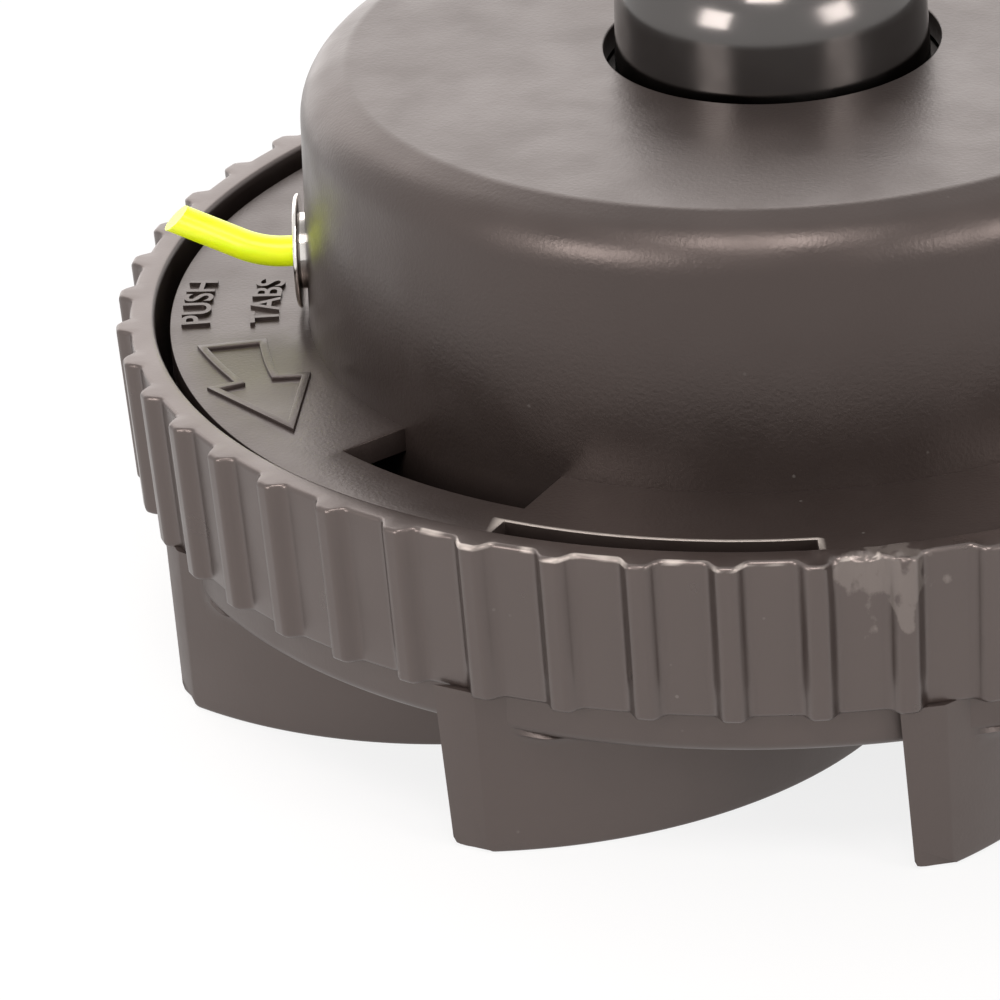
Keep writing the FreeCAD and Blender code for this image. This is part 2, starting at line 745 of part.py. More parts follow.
def make_feed_spring():
    """The compression spring between the floor and the washer."""
    body = make_body("feed_spring")
    wire = size("spring_wire")
    foot = floor_top + size("spring_gap")
    length = washer_foot - size("spring_gap") - foot - wire
    section = make_sketch(body, "Wire", "XZ_Plane")
    circle(section, (washer_inner_radius + washer_outer_radius) / 2, foot + wire / 2, wire / 2)
    helix = body.newObject("PartDesign::AdditiveHelix", "feed_spring_Helix")
    helix.Profile = section
    helix.ReferenceAxis = (section, ["V_Axis"])
    helix.Mode = "height-turns-angle"
    helix.setExpression("Height", length.text)
    helix.setExpression("Turns", size("spring_turns").text)
    finish(body, helix, adds=True)
    return body


def make_eyelet(label, facing):
    """A flanged line eyelet in the hub wall, turned to face an azimuth."""
    body = make_body(label)
    inner_face = eyelet_inside - size("eyelet_inner_thickness")
    flange_back = hub_foot_radius + size("eyelet_standoff")
    edge = size("eyelet_edge_round")
    section = make_sketch(body, "Section", "XZ_Plane", offset=(AXIS, eyelet_height, AXIS))
    outline(section, [
        (inner_face, eyelet_bore, edge),
        (eyelet_face, eyelet_bore, edge),
        (eyelet_face, size("eyelet_flange_radius"), edge),
        (flange_back, size("eyelet_flange_radius"), edge),
        (flange_back, eyelet_barrel),
        (eyelet_inside, eyelet_barrel),
        (eyelet_inside, eyelet_barrel + size("eyelet_inner_flange")),
        (inner_face, eyelet_barrel + size("eyelet_inner_flange")),
    ])
    turn(body, section, axis="H_Axis")
    body.Placement.Rotation = FreeCAD.Rotation(FreeCAD.Vector(0, 0, 1), facing)
    return body


def make_line_end(label, facing):
    """The cut end of the line, out of its eyelet in one easy bend, turned to face an azimuth."""
    body = make_body(label)
    bend_start = eyelet_face + size("line_run")
    bend = math.radians(size("line_bend").number)
    radius = size("line_bend_radius")
    path = make_sketch(body, "Path", offset=(AXIS, AXIS, eyelet_height),
                       turn=-size("line_lift") + 180, about=(1, 0, 0))
    origin = FreeCAD.Vector(eyelet_inside.number, 0, 0)
    corner = FreeCAD.Vector(bend_start.number, 0, 0)
    centre = corner + FreeCAD.Vector(0, radius.number, 0)
    bend_end = centre + FreeCAD.Vector(math.sin(bend), -math.cos(bend), 0) * radius.number
    tail_end = bend_end + FreeCAD.Vector(math.cos(bend), math.sin(bend), 0) * size("line_tail").number
    run = path.addGeometry(Part.LineSegment(origin, corner))
    curve = Part.Circle(centre, FreeCAD.Vector(0, 0, 1), radius.number)
    arc = path.addGeometry(Part.ArcOfCircle(curve, -math.pi / 2, bend - math.pi / 2))
    tail = path.addGeometry(Part.LineSegment(bend_end, tail_end))
    pin_point(path, run, 1, eyelet_inside, AXIS)
    pin_point(path, run, 2, bend_start, AXIS)
    path.addConstraint(Sketcher.Constraint("Tangent", run, 2, arc, 1))
    path.addConstraint(Sketcher.Constraint("Tangent", arc, 2, tail, 1))
    bind(path, "Radius", arc, radius)
    bind(path, "Angle", tail, size("line_bend"))
    bind(path, "Distance", tail, size("line_tail"))
    section = make_sketch(body, "Section", "YZ_Plane", offset=(AXIS, AXIS, eyelet_inside))
    circle(section, AXIS, eyelet_height, line_radius)
    pipe = body.newObject("PartDesign::AdditivePipe", f"{label}_Pipe")
    pipe.Profile = section
    pipe.Spine = (path, [])
    finish(body, pipe, adds=True)
    bend_sine = size("line_bend").sine()
    bend_cosine = size("line_bend").cosine()
    sideways = radius - radius * bend_cosine + size("line_tail") * bend_sine
    end_x = bend_start + radius * bend_sine + size("line_tail") * bend_cosine
    end_z = eyelet_height + sideways * size("line_lift").sine()
    reach = size("line_cut_reach")
    back = size("line_cut_back")
    cut = make_sketch(body, "Cut", "XZ_Plane")
    outline(cut, [
        (end_x - back - reach, end_z + reach),
        (end_x - back + reach, end_z - reach),
        (end_x - back + reach, end_z + reach),
    ])
    extrude(body, cut, "Pocket", size("ring_radius"), midplane=True)
    body.Placement.Rotation = FreeCAD.Rotation(FreeCAD.Vector(0, 0, 1), facing)
    return body


RIGHT = 0
LEFT = 180

pieces = [
    make_fan_base(),
    make_spool_cover(),
    make_spool(),
    make_winding("winding_upper", upper_space),
    make_winding("winding_lower", lower_space),
    make_bump_knob(),
    make_drive_spindle(),
    make_spring_washer(),
    make_feed_spring(),
    make_eyelet("eyelet_right", RIGHT),
    make_eyelet("eyelet_left", LEFT),
    make_line_end("line_end_right", RIGHT),
    make_line_end("line_end_left", LEFT),
]
doc.recompute()

for item in doc.Objects:
    if "Invalid" in item.State or "Error" in item.State:
        raise RuntimeError(f"{item.Name} did not recompute")
for piece in pieces:
    if piece.Shape.isNull() or not piece.Shape.isValid():
        raise RuntimeError(f"{piece.Label} has no valid solid")

os.makedirs("parts", exist_ok=True)
for piece in pieces:
    piece.Shape.exportStep(f"parts/{piece.Label}.step")
    print(piece.Label, len(piece.Shape.Solids), round(piece.Shape.Volume, 1))
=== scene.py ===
import logging
import math
from dataclasses import dataclass, field
from enum import Enum
from typing import Iterable, Sequence

import bmesh
import bpy
from mathutils import Matrix, Vector, noise


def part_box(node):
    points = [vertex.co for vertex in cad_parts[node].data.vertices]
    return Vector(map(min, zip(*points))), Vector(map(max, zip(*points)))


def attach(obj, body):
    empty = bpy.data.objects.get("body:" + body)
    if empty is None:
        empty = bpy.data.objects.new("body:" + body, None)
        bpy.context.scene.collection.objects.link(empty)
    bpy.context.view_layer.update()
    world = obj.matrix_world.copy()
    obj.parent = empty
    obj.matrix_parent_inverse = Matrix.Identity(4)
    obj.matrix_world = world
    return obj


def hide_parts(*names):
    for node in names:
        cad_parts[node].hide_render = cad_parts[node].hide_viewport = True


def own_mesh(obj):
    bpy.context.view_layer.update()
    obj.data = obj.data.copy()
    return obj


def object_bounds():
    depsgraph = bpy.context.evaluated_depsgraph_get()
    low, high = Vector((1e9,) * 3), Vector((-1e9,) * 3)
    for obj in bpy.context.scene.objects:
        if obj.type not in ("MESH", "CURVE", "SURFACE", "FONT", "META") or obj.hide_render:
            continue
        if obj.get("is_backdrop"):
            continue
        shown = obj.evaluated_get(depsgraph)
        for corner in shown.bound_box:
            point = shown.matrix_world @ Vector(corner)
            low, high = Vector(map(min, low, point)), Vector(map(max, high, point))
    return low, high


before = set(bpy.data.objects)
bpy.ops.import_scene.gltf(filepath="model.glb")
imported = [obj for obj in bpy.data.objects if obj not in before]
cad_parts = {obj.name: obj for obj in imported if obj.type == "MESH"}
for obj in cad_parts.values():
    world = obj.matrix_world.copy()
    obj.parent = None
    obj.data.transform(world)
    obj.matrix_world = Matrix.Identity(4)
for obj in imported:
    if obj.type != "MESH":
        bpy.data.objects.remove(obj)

LOG = logging.getLogger("trimmer_head")
HOUSING = "housing"
FEED_UNIT = "feed_unit"
TAU = 2 * math.pi
UP = Vector((0, 0, 1))

Obj = bpy.types.Object
Node = bpy.types.Node
Socket = bpy.types.NodeSocket
Material = bpy.types.Material
Point = tuple[float, float]
Triple = tuple[float, float, float]


class Side(Enum):
    """The two line outlets, by the azimuth that they face in degrees."""

    LEFT = 180.0
    RIGHT = 0.0


def clamp(value: float) -> float:
    """Return a value held between 0 and 1."""
    return min(1.0, max(0.0, value))


def quarter(steps: int) -> list[Point]:
    """Return the sine and cosine of evenly spaced angles from 0 to a quarter turn."""
    angles = [math.pi / 2 * step / steps for step in range(steps + 1)]
    return [(math.sin(angle), math.cos(angle)) for angle in angles]


def spokes(count: int) -> list[float]:
    """Return evenly spaced azimuths round the axis in degrees."""
    return [360.0 * index / count for index in range(count)]


def polar(radius: float, azimuth: float, height: float = 0.0) -> Vector:
    """Return a point from its radius, azimuth in degrees and height.

    Args:
        radius: distance from the spin axis in metres.
        azimuth: angle from +X in degrees, anticlockwise from above.
        height: height in metres.

    Returns:
        The point as a vector.
    """
    angle = math.radians(azimuth)
    return Vector((radius * math.cos(angle), radius * math.sin(angle), height))


def azimuth_of(point: Vector) -> float:
    """Return a point's azimuth in degrees."""
    return math.degrees(math.atan2(point.y, point.x))


def rounded_outline(corners: Sequence[Triple], steps: int = 6) -> list[Point]:
    """Round the corners of a closed outline.

    Args:
        corners: (x, y, radius) of each corner, with radius 0 for a sharp one.
        steps: straight pieces in each rounded corner.

    Returns:
        The points of the rounded outline, in order.
    """
    points: list[Point] = []
    count = len(corners)
    for index, (x, y, radius) in enumerate(corners):
        corner = Vector((x, y))
        if radius == 0:
            points.append((x, y))
            continue
        before = (Vector(corners[index - 1][:2]) - corner).normalized()
        after = (Vector(corners[(index + 1) % count][:2]) - corner).normalized()
        half = before.angle(after) / 2
        centre = corner + (before + after).normalized() * (radius / math.sin(half))
        first = corner + before * (radius / math.tan(half)) - centre
        second = corner + after * (radius / math.tan(half)) - centre
        sweep = first.angle_signed(second)
        for step in range(steps + 1):
            turned = first.copy()
            turned.rotate(Matrix.Rotation(-sweep * step / steps, 2))
            points.append(tuple(centre + turned))
    return points


def in_scene(name: str, data: bpy.types.ID) -> Obj:
    """Return a new object that holds the data, linked to the scene.

    Args:
        name: the new object's name.
        data: the mesh, text, lamp or camera that it holds.

    Returns:
        The object.
    """
    piece = bpy.data.objects.new(name, data)
    bpy.context.scene.collection.objects.link(piece)
    return piece


class MeshDraft:
    """A mesh under construction, made of closed shells; each step returns the draft."""

    def __init__(self) -> None:
        """Start with no shells."""
        self.bm = bmesh.new()

    def row(self, points: Iterable[Vector]) -> list[bmesh.types.BMVert]:
        """Add a row of vertices."""
        return [self.bm.verts.new(point) for point in points]

    def bridge(self, low: Sequence[bmesh.types.BMVert], high: Sequence[bmesh.types.BMVert]) -> None:
        """Join two rows, each closed in itself, by quads.

        Args:
            low: one row.
            high: the next row, of the same length.
        """
        for index in range(len(low)):
            after = (index + 1) % len(low)
            self.bm.faces.new((low[index], low[after], high[after], high[index]))

    def skin(self, loops: Sequence[Sequence[Vector]], closed: bool,
             capped: bool = True) -> "MeshDraft":
        """Join loops of equal length by quads.

        Args:
            loops: rings of points; each ring is closed in itself.
            closed: join the last ring to the first.
            capped: cap both ends of rings that aren't joined.

        Returns:
            The draft.
        """
        rows = [self.row(loop) for loop in loops]
        for low, high in zip(rows, rows[1:]):
            self.bridge(low, high)
        if closed:
            self.bridge(rows[-1], rows[0])
        elif capped:
            self.bm.faces.new(rows[0])
            self.bm.faces.new(list(reversed(rows[-1])))
        return self

    def lathe(self, outline: Sequence[Point], segments: int = 256) -> "MeshDraft":
        """Turn a closed (radius, height) outline about the spin axis."""
        loops = [[polar(r, spoke, z) for r, z in outline] for spoke in spokes(segments)]
        return self.skin(loops, closed=True)

    def lathe_to_axis(self, outline: Sequence[Point], segments: int = 192) -> "MeshDraft":
        """Turn an open (radius, height) outline whose two ends lie on the spin axis.

        Args:
            outline: its (radius, height) points.
            segments: steps round the axis.

        Returns:
            The draft.
        """
        ends = self.row((0, 0, outline[at][1]) for at in (0, -1))
        rings = [self.row(polar(r, spoke, z) for spoke in spokes(segments))
                 for r, z in outline[1:-1]]
        for low, high in zip(rings, rings[1:]):
            self.bridge(low, high)
        for end, ring in zip(ends, (rings[0], rings[-1])):
            for index in range(segments):
                self.bm.faces.new((end, ring[index], ring[(index + 1) % segments]))
        return self

    def sector(self, radii: Point, azimuths: Point, heights: Point) -> "MeshDraft":
        """Add a block between two radii, two azimuths and two heights.

        Args:
            radii: inner and outer radius.
            azimuths: first and last azimuth in degrees.
            heights: lower and upper height.

        Returns:
            The draft.
        """
        (inner, outer), (start, end), (low, high) = radii, azimuths, heights
        steps = max(2, math.ceil(end - start))
        turns = [start + (end - start) * index / steps for index in range(steps + 1)]
        section = ((inner, low), (outer, low), (outer, high), (inner, high))
        return self.skin([[polar(r, turn, z) for r, z in section] for turn in turns], closed=False)

    def turn(self, matrix: Matrix) -> "MeshDraft":
        """Move all of the draft by a matrix."""
        bmesh.ops.transform(self.bm, matrix=matrix, verts=self.bm.verts)
        return self

    def finish(self, name: str, material: Material | None = None) -> Obj:
        """Close the draft.

        Args:
            name: the new object's name.
            material: its finish, if it has one already.

        Returns:
            The object, with its faces outward.
        """
        bmesh.ops.recalc_face_normals(self.bm, faces=self.bm.faces)
        mesh = bpy.data.meshes.new(name)
        self.bm.to_mesh(mesh)
        self.bm.free()
        if material is not None:
            mesh.materials.append(material)
        return in_scene(name, mesh)


def smooth_by_angle(piece: Obj, degrees: float) -> None:
    """Shade a piece smooth, with sharp edges above an angle in degrees."""
    piece.data.shade_smooth()
    piece.data.set_sharp_from_angle(angle=math.radians(degrees))


def evaluated_mesh(piece: Obj) -> bpy.types.Mesh:
    """Return a new mesh of what a piece's modifiers or text make.

    Args:
        piece: the object with modifiers or text.

    Returns:
        The mesh.
    """
    graph = bpy.context.evaluated_depsgraph_get()
    graph.update()
    return bpy.data.meshes.new_from_object(piece.evaluated_get(graph), depsgraph=graph)


def keep_evaluated(piece: Obj) -> None:
    """Replace a piece's mesh by what its modifiers make of it, and remove them.

    Args:
        piece: the object to change.
    """
    result = evaluated_mesh(piece)
    piece.modifiers.clear()
    old = piece.data
    piece.data = result
    result.name = piece.name
    bpy.data.meshes.remove(old)


def soften_edges(piece: Obj, width: float, segments: int = 2, degrees: float = 35.0) -> None:
    """Round the sharp edges of a piece and keep the result as its mesh.

    Args:
        piece: the object to change.
        width: the width of the rounding in metres.
        segments: faces across the rounding.
        degrees: edges turning by more than this are rounded.
    """
    bevel = piece.modifiers.new("soft_edges", "BEVEL")
    bevel.width = width
    bevel.segments = segments
    bevel.limit_method = "ANGLE"
    bevel.angle_limit = math.radians(degrees)
    bevel.use_clamp_overlap = True
    bevel.harden_normals = False
    keep_evaluated(piece)


def join(name: str, parts: Sequence[Obj]) -> Obj:
    """Join several objects into one mesh object that keeps their materials.

    Args:
        name: the joined object's name.
        parts: the objects, which are removed.

    Returns:
        The joined object.
    """
    bm = bmesh.new()
    slots: list[Material] = []
    for part in parts:
        first = len(bm.faces)
        bm.from_mesh(part.data)
        bm.faces.ensure_lookup_table()
        slots += [material for material in part.data.materials if material not in slots]
        for face in bm.faces[first:]:
            face.material_index = slots.index(part.data.materials[face.material_index])
    mesh = bpy.data.meshes.new(name)
    bm.to_mesh(mesh)
    bm.free()
    for material in slots:
        mesh.materials.append(material)
    for part in parts:
        bpy.data.objects.remove(part)
    return in_scene(name, mesh)


class Nodes:
    """A node tree with short calls for its nodes."""

    def __init__(self, tree: bpy.types.NodeTree) -> None:
        """Take the tree that is added to."""
        self.tree = tree

    def feed(self, node: Node, feeds: dict[str | int, object]) -> None:
        """Link or set a node's inputs, given by name or number.

        Args:
            node: the node to feed.
            feeds: sockets to link or plain values.
        """
        for key, value in feeds.items():
            if isinstance(value, Socket):
                self.tree.links.new(value, node.inputs[key])
            else:
                node.inputs[key].default_value = value

    def node(self, kind: str, feeds: dict[str | int, object] | None = None,
             **values: object) -> Node:
        """Add a node.

        Args:
            kind: the node's type.
            feeds: its inputs by name or number, each a socket to link or a plain value.
            values: its properties.

        Returns:
            The node.
        """
        node = self.tree.nodes.new(kind)
        for key, value in values.items():
            setattr(node, key, value)
        self.feed(node, feeds or {})
        return node

    def math(self, operation: str, *terms: object) -> Socket:
        """Return the result of an operation on sockets or numbers."""
        return self.node("ShaderNodeMath", dict(enumerate(terms)), operation=operation).outputs[0]

    def ramp(self, value: Socket, span: Point, levels: Point, **values: object) -> Socket:
        """Map a value from one range to another, clamped.

        Args:
            value: the socket to map.
            span: the values that give the first and the second level.
            levels: the results at both ends.
            values: properties of the node.

        Returns:
            The mapped value.
        """
        keys = ("Value", "From Min", "From Max", "To Min", "To Max")
        feeds = dict(zip(keys, (value, *span, *levels)))
        return self.node("ShaderNodeMapRange", feeds, **values).outputs[0]

    def plain_sight(self) -> Socket:
        """Return 1 for rays that show a surface: from the camera, gloss or clear pieces.

        Returns:
            The value.
        """
        path = self.node("ShaderNodeLightPath").outputs
        seen = self.math("MAXIMUM", path["Is Camera Ray"], path["Is Glossy Ray"])
        return self.math("MAXIMUM", seen, path["Is Transmission Ray"])

    def show(self, output: str, share: Socket, lit: Node, plain: Node) -> None:
        """Show a lit shader, and a share of a plain one, at the tree's output.

        Args:
            output: the output node's name.
            share: the plain shader's share.
            lit: the lit shader.
            plain: the plain shader.
        """
        feeds = {0: share, 1: lit.outputs[0], 2: plain.outputs[0]}
        mix = self.node("ShaderNodeMixShader", feeds)
        self.feed(self.tree.nodes[output], {"Surface": mix.outputs[0]})


class RingPattern:
    """A Geometry Nodes tree that repeats a piece evenly round the spin axis."""

    def __init__(self) -> None:
        """Build the tree once."""
        self.tree = bpy.data.node_groups.new("repeat_round_axis", "GeometryNodeTree")
        self.sockets: dict[str, str] = {}
        for name, kind in (("Geometry", "Geometry"), ("Count", "Int"), ("First Angle", "Float"),
                           ("Merge Distance", "Float"), ("Material", "Material")):
            socket = self.tree.interface.new_socket(name, in_out="INPUT",
                                                    socket_type=f"NodeSocket{kind}")
            self.sockets[name] = socket.identifier
        self.tree.interface.new_socket("Geometry", in_out="OUTPUT",
                                       socket_type="NodeSocketGeometry")
        nodes = Nodes(self.tree)
        given = nodes.node("NodeGroupInput").outputs
        line = {"Count": given["Count"], "Offset": (0, 0, 0)}
        points = nodes.node("GeometryNodeMeshLine", line).outputs[0]
        index = nodes.node("GeometryNodeInputIndex").outputs[0]
        step = nodes.math("DIVIDE", TAU, given["Count"])
        angle = nodes.math("MULTIPLY_ADD", index, step, given["First Angle"])
        euler = nodes.node("ShaderNodeCombineXYZ", {"Z": angle}).outputs[0]
        flow = given["Geometry"]
        for kind, feeds in (
            ("GeometryNodeInstanceOnPoints", {"Points": points, "Rotation": euler}),
            ("GeometryNodeRealizeInstances", {}),
            ("GeometryNodeMergeByDistance", {"Distance": given["Merge Distance"]}),
            ("GeometryNodeSetMaterial", {"Material": given["Material"]}),
        ):
            entry = "Instance" if "Points" in feeds else "Geometry"
            flow = nodes.node(kind, {entry: flow, **feeds}).outputs[0]
        nodes.node("NodeGroupOutput", {0: flow})

    def apply(self, piece: Obj, count: int, first: float, material: Material,
              merge: float = 1e-7) -> Obj:
        """Repeat a piece and keep the result as its mesh.

        Args:
            piece: the object with one copy.
            count: how many copies there are round the axis.
            first: the first copy's azimuth in degrees.
            material: the finish of all copies.
            merge: the distance in metres under which points become one.

        Returns:
            The same object.
        """
        modifier = piece.modifiers.new("round_axis", "NODES")
        modifier.node_group = self.tree
        for name, value in (("Count", count), ("First Angle", math.radians(first)),
                            ("Merge Distance", merge), ("Material", material)):
            modifier[self.sockets[name]] = value
        keep_evaluated(piece)
        return piece


class Shader(Nodes):
    """A Principled material with short calls for its nodes."""

    def __init__(self, name: str, colour: Triple) -> None:
        """Make the material with its plain colour.

        Args:
            name: the material's name.
            colour: its RGB colour.
        """
        self.material = bpy.data.materials.new(name)
        self.material.use_nodes = True
        super().__init__(self.material.node_tree)
        self.bsdf = self.tree.nodes["Principled BSDF"]
        self.shade({"Base Color": (*colour, 1.0)})
        self.place = self.node("ShaderNodeTexCoord").outputs["Object"]

    def shade(self, feeds: dict[str | int, object]) -> Material:
        """Link or set the surface's inputs and return the material."""
        self.feed(self.bsdf, feeds)
        return self.material

    def noise(self, scale: float, detail: float = 3.0,
              stretch: Sequence[float] = (1, 1, 1)) -> Socket:
        """Add a noise texture.

        Args:
            scale: features per metre.
            detail: octaves of finer detail.
            stretch: scale along each axis.

        Returns:
            The noise value.
        """
        mapping = self.node("ShaderNodeMapping", {"Vector": self.place, "Scale": stretch})
        feeds = {"Vector": mapping.outputs[0], "Scale": scale, "Detail": detail}
        return self.node("ShaderNodeTexNoise", feeds).outputs["Fac"]

    def mix(self, factor: Socket, first: object, second: object) -> Socket:
        """Mix two colours, each a socket or an RGB value.

        Args:
            factor: the second colour's share.
            first: the first colour.
            second: the second colour.

        Returns:
            The mixed colour.
        """
        sides = [side if isinstance(side, Socket) else (*side, 1.0) for side in (first, second)]
        feeds = {"Factor": factor, 6: sides[0], 7: sides[1]}
        return self.node("ShaderNodeMix", feeds, data_type="RGBA").outputs[2]

    def bump(self, height: Socket, strength: float, distance: float,
             under: Socket | None = None) -> Socket:
        """Add a bump.

        Args:
            height: the height texture.
            strength: how much of it shows.
            distance: its depth in metres.
            under: a bump that this one lies on.

        Returns:
            The bent normal.
        """
        feeds = {"Height": height, "Strength": strength, "Distance": distance}
        if under is not None:
            feeds["Normal"] = under
        return self.node("ShaderNodeBump", feeds).outputs[0]


@dataclass(frozen=True)
class MouldedPlastic:
    """Black moulded nylon with a fine eroded grain, cloudy sheen, a few dust specks, a pale scuff
    patch and painted highlights on edges marked in the mesh.
    """

    name: str
    colour: Triple
    # Pale colour of the scuff patch and of the painted edge highlights.
    scuff_and_highlight: Triple
    roughness: float
    sheen: float = 1.0
    sheen_tint: Triple = (1.0, 0.85, 0.80)
    refraction: float = 1.6
    clouds: float = 55.0
    cloud_gain: float = 1.22
    patches: float = 160.0
    grain: float = 2600.0
    grain_depth: float = 0.00004
    grain_strength: float = 0.35
    waves: float = 90.0
    wave_depth: float = 0.0003
    wave_strength: float = 0.08
    specks: float = 420.0
    speck_fields: float = 140.0
    dust: float = 0.12
    dust_colour: Triple = (0.55, 0.53, 0.50)
    scuff_place: Triple = (0.0, 0.0, 0.0)
    scuff_noise: float = 330.0
    scuff_reach: float = 0.0075
    scuff_share: float = 0.17

    def build(self) -> Material:
        """Build the material.

        Returns:
            The material.
        """
        shader = Shader(self.name, self.colour)
        cloud = shader.ramp(shader.noise(self.clouds, 4.0), (0.3, 0.7), (0.0, 1.0))
        lighter = tuple(channel * self.cloud_gain for channel in self.colour)
        plain = shader.mix(cloud, self.colour, lighter)
        # The pale colour goes on the scuff patch, and as painted highlights on marked edges.
        highlit_and_scuffed = shader.mix(self._scuff_and_highlight_share(shader), plain, self.scuff_and_highlight)
        cells = {"Vector": shader.place, "Scale": self.specks}
        apart = shader.node("ShaderNodeTexVoronoi", cells).outputs["Distance"]
        rare = shader.ramp(shader.noise(self.speck_fields, 2.0), (0.62, 0.7), (0.0, self.dust))
        near = shader.ramp(apart, (0.05, 0.09), (1.0, 0.0))
        dusty = shader.mix(shader.math("MULTIPLY", rare, near), highlit_and_scuffed, self.dust_colour)
        patchy = (self.roughness - 0.05, self.roughness + 0.06)
        waves = shader.bump(shader.noise(self.waves, 2.0), self.wave_strength, self.wave_depth)
        fine = shader.noise(self.grain, 2.0)
        return shader.shade({
            "IOR": self.refraction,
            "Specular IOR Level": self.sheen,
            "Specular Tint": (*self.sheen_tint, 1.0),
            "Base Color": dusty,
            "Roughness": shader.ramp(shader.noise(self.patches), (0.3, 0.7), patchy),
            "Normal": shader.bump(fine, self.grain_strength, self.grain_depth, waves),
        })

    def _scuff_and_highlight_share(self, shader: Shader) -> Socket:
        """Return the pale colour's share: a ragged scuff patch at the scuffed place, and painted
        highlights on marked edges.

        Args:
            shader: the material's nodes.

        Returns:
            The share.
        """
        painted_edge_highlight = shader.node("ShaderNodeAttribute", attribute_name="edge_highlight").outputs["Fac"]
        ends = {0: shader.place, 1: self.scuff_place}
        apart = shader.node("ShaderNodeVectorMath", ends, operation="DISTANCE").outputs["Value"]
        rough = shader.noise(self.scuff_noise, 6.0, stretch=(1.0, 1.0, 0.7))
        ragged = shader.math("MULTIPLY_ADD", rough, self.scuff_reach * 2.4, apart)
        border = (self.scuff_reach * 1.58, self.scuff_reach * 1.72)
        return shader.math("MAXIMUM", painted_edge_highlight, shader.ramp(ragged, border, (self.scuff_share, 0.0)))


@dataclass(frozen=True)
class PolishedSteel:
    """Turned and polished steel with faint turning lines."""

    name: str
    colour: Triple
    roughness: float
    smears: float = 120.0
    lines: float = 900.0
    line_depth: float = 0.000004
    line_strength: float = 0.3

    def build(self) -> Material:
        """Build the material.

        Returns:
            The material.
        """
        shader = Shader(self.name, self.colour)
        turning = shader.noise(self.lines, 2.0, stretch=(0.04, 0.04, 1.0))
        smear = (self.roughness * 0.7, self.roughness * 1.6)
        return shader.shade({
            "Metallic": 1.0,
            "Roughness": shader.ramp(shader.noise(self.smears), (0.3, 0.75), smear),
            "Normal": shader.bump(turning, self.line_strength, self.line_depth),
        })


@dataclass(frozen=True)
class NylonLine:
    """Fluorescent nylon line, slightly clear, with a painted glow of its own that shines without
    any lamp.
    """

    name: str
    colour: Triple
    painted_glow: float = 0.12
    roughness: float = 0.32
    clear: float = 0.25
    streaks: float = 700.0
    streak_depth: float = 0.00005

    def build(self) -> Material:
        """Build the material.

        Returns:
            The material.
        """
        shader = Shader(self.name, self.colour)
        drawn = shader.noise(self.streaks, 2.0, stretch=(0.15, 1.0, 1.0))
        paler = tuple(min(1.0, channel * 1.1 + 0.03) for channel in self.colour)
        streaks = shader.ramp(drawn, (0.35, 0.7), (0.0, 1.0))
        return shader.shade({
            "Roughness": self.roughness,
            # Emission: a painted glow standing in for the line's fluorescence, shining without any
            # lamp.
            "Emission Color": (*self.colour, 1.0),
            "Emission Strength": self.painted_glow,
            "Subsurface Weight": self.clear,
            "Subsurface Radius": (0.002, 0.002, 0.0005),
            "Base Color": shader.mix(streaks, self.colour, paler),
            "Normal": shader.bump(drawn, 0.2, self.streak_depth),
        })


class Finishes:
    """All finishes of the head, each made once."""

    def __init__(self) -> None:
        """Build the materials."""
        black = (0.019, 0.014, 0.0125)
        grey = (0.11, 0.11, 0.12)
        # Pale colour for the ring's scuff patch and for the painted edge highlights.
        pale_scuff_and_highlight = (0.42, 0.385, 0.355)
        self.cover = MouldedPlastic("cover_plastic_finish", black, pale_scuff_and_highlight, 0.35, 0.60,
                                    grain_strength=0.6).build()
        self.vanes = MouldedPlastic("vane_plastic_finish", black, pale_scuff_and_highlight, 0.44, 0.88).build()
        self.ring = MouldedPlastic("ring_plastic_finish", black, pale_scuff_and_highlight, 0.32, grain_strength=0.2,
                                   scuff_place=(0.0082, -0.0640, 0.0300)).build()
        self.spool = MouldedPlastic("spool_plastic_finish", grey, pale_scuff_and_highlight, 0.45).build()
        self.knob = PolishedSteel("knob_steel_finish", (0.12, 0.112, 0.108), 0.16).build()
        self.nickel = PolishedSteel("eyelet_nickel_finish", (0.80, 0.76, 0.72), 0.14).build()
        self.steel = PolishedSteel("turned_steel_finish", (0.55, 0.54, 0.53), 0.30).build()
        self.line = NylonLine("line_nylon_finish", (0.78, 1.0, 0.0)).build()


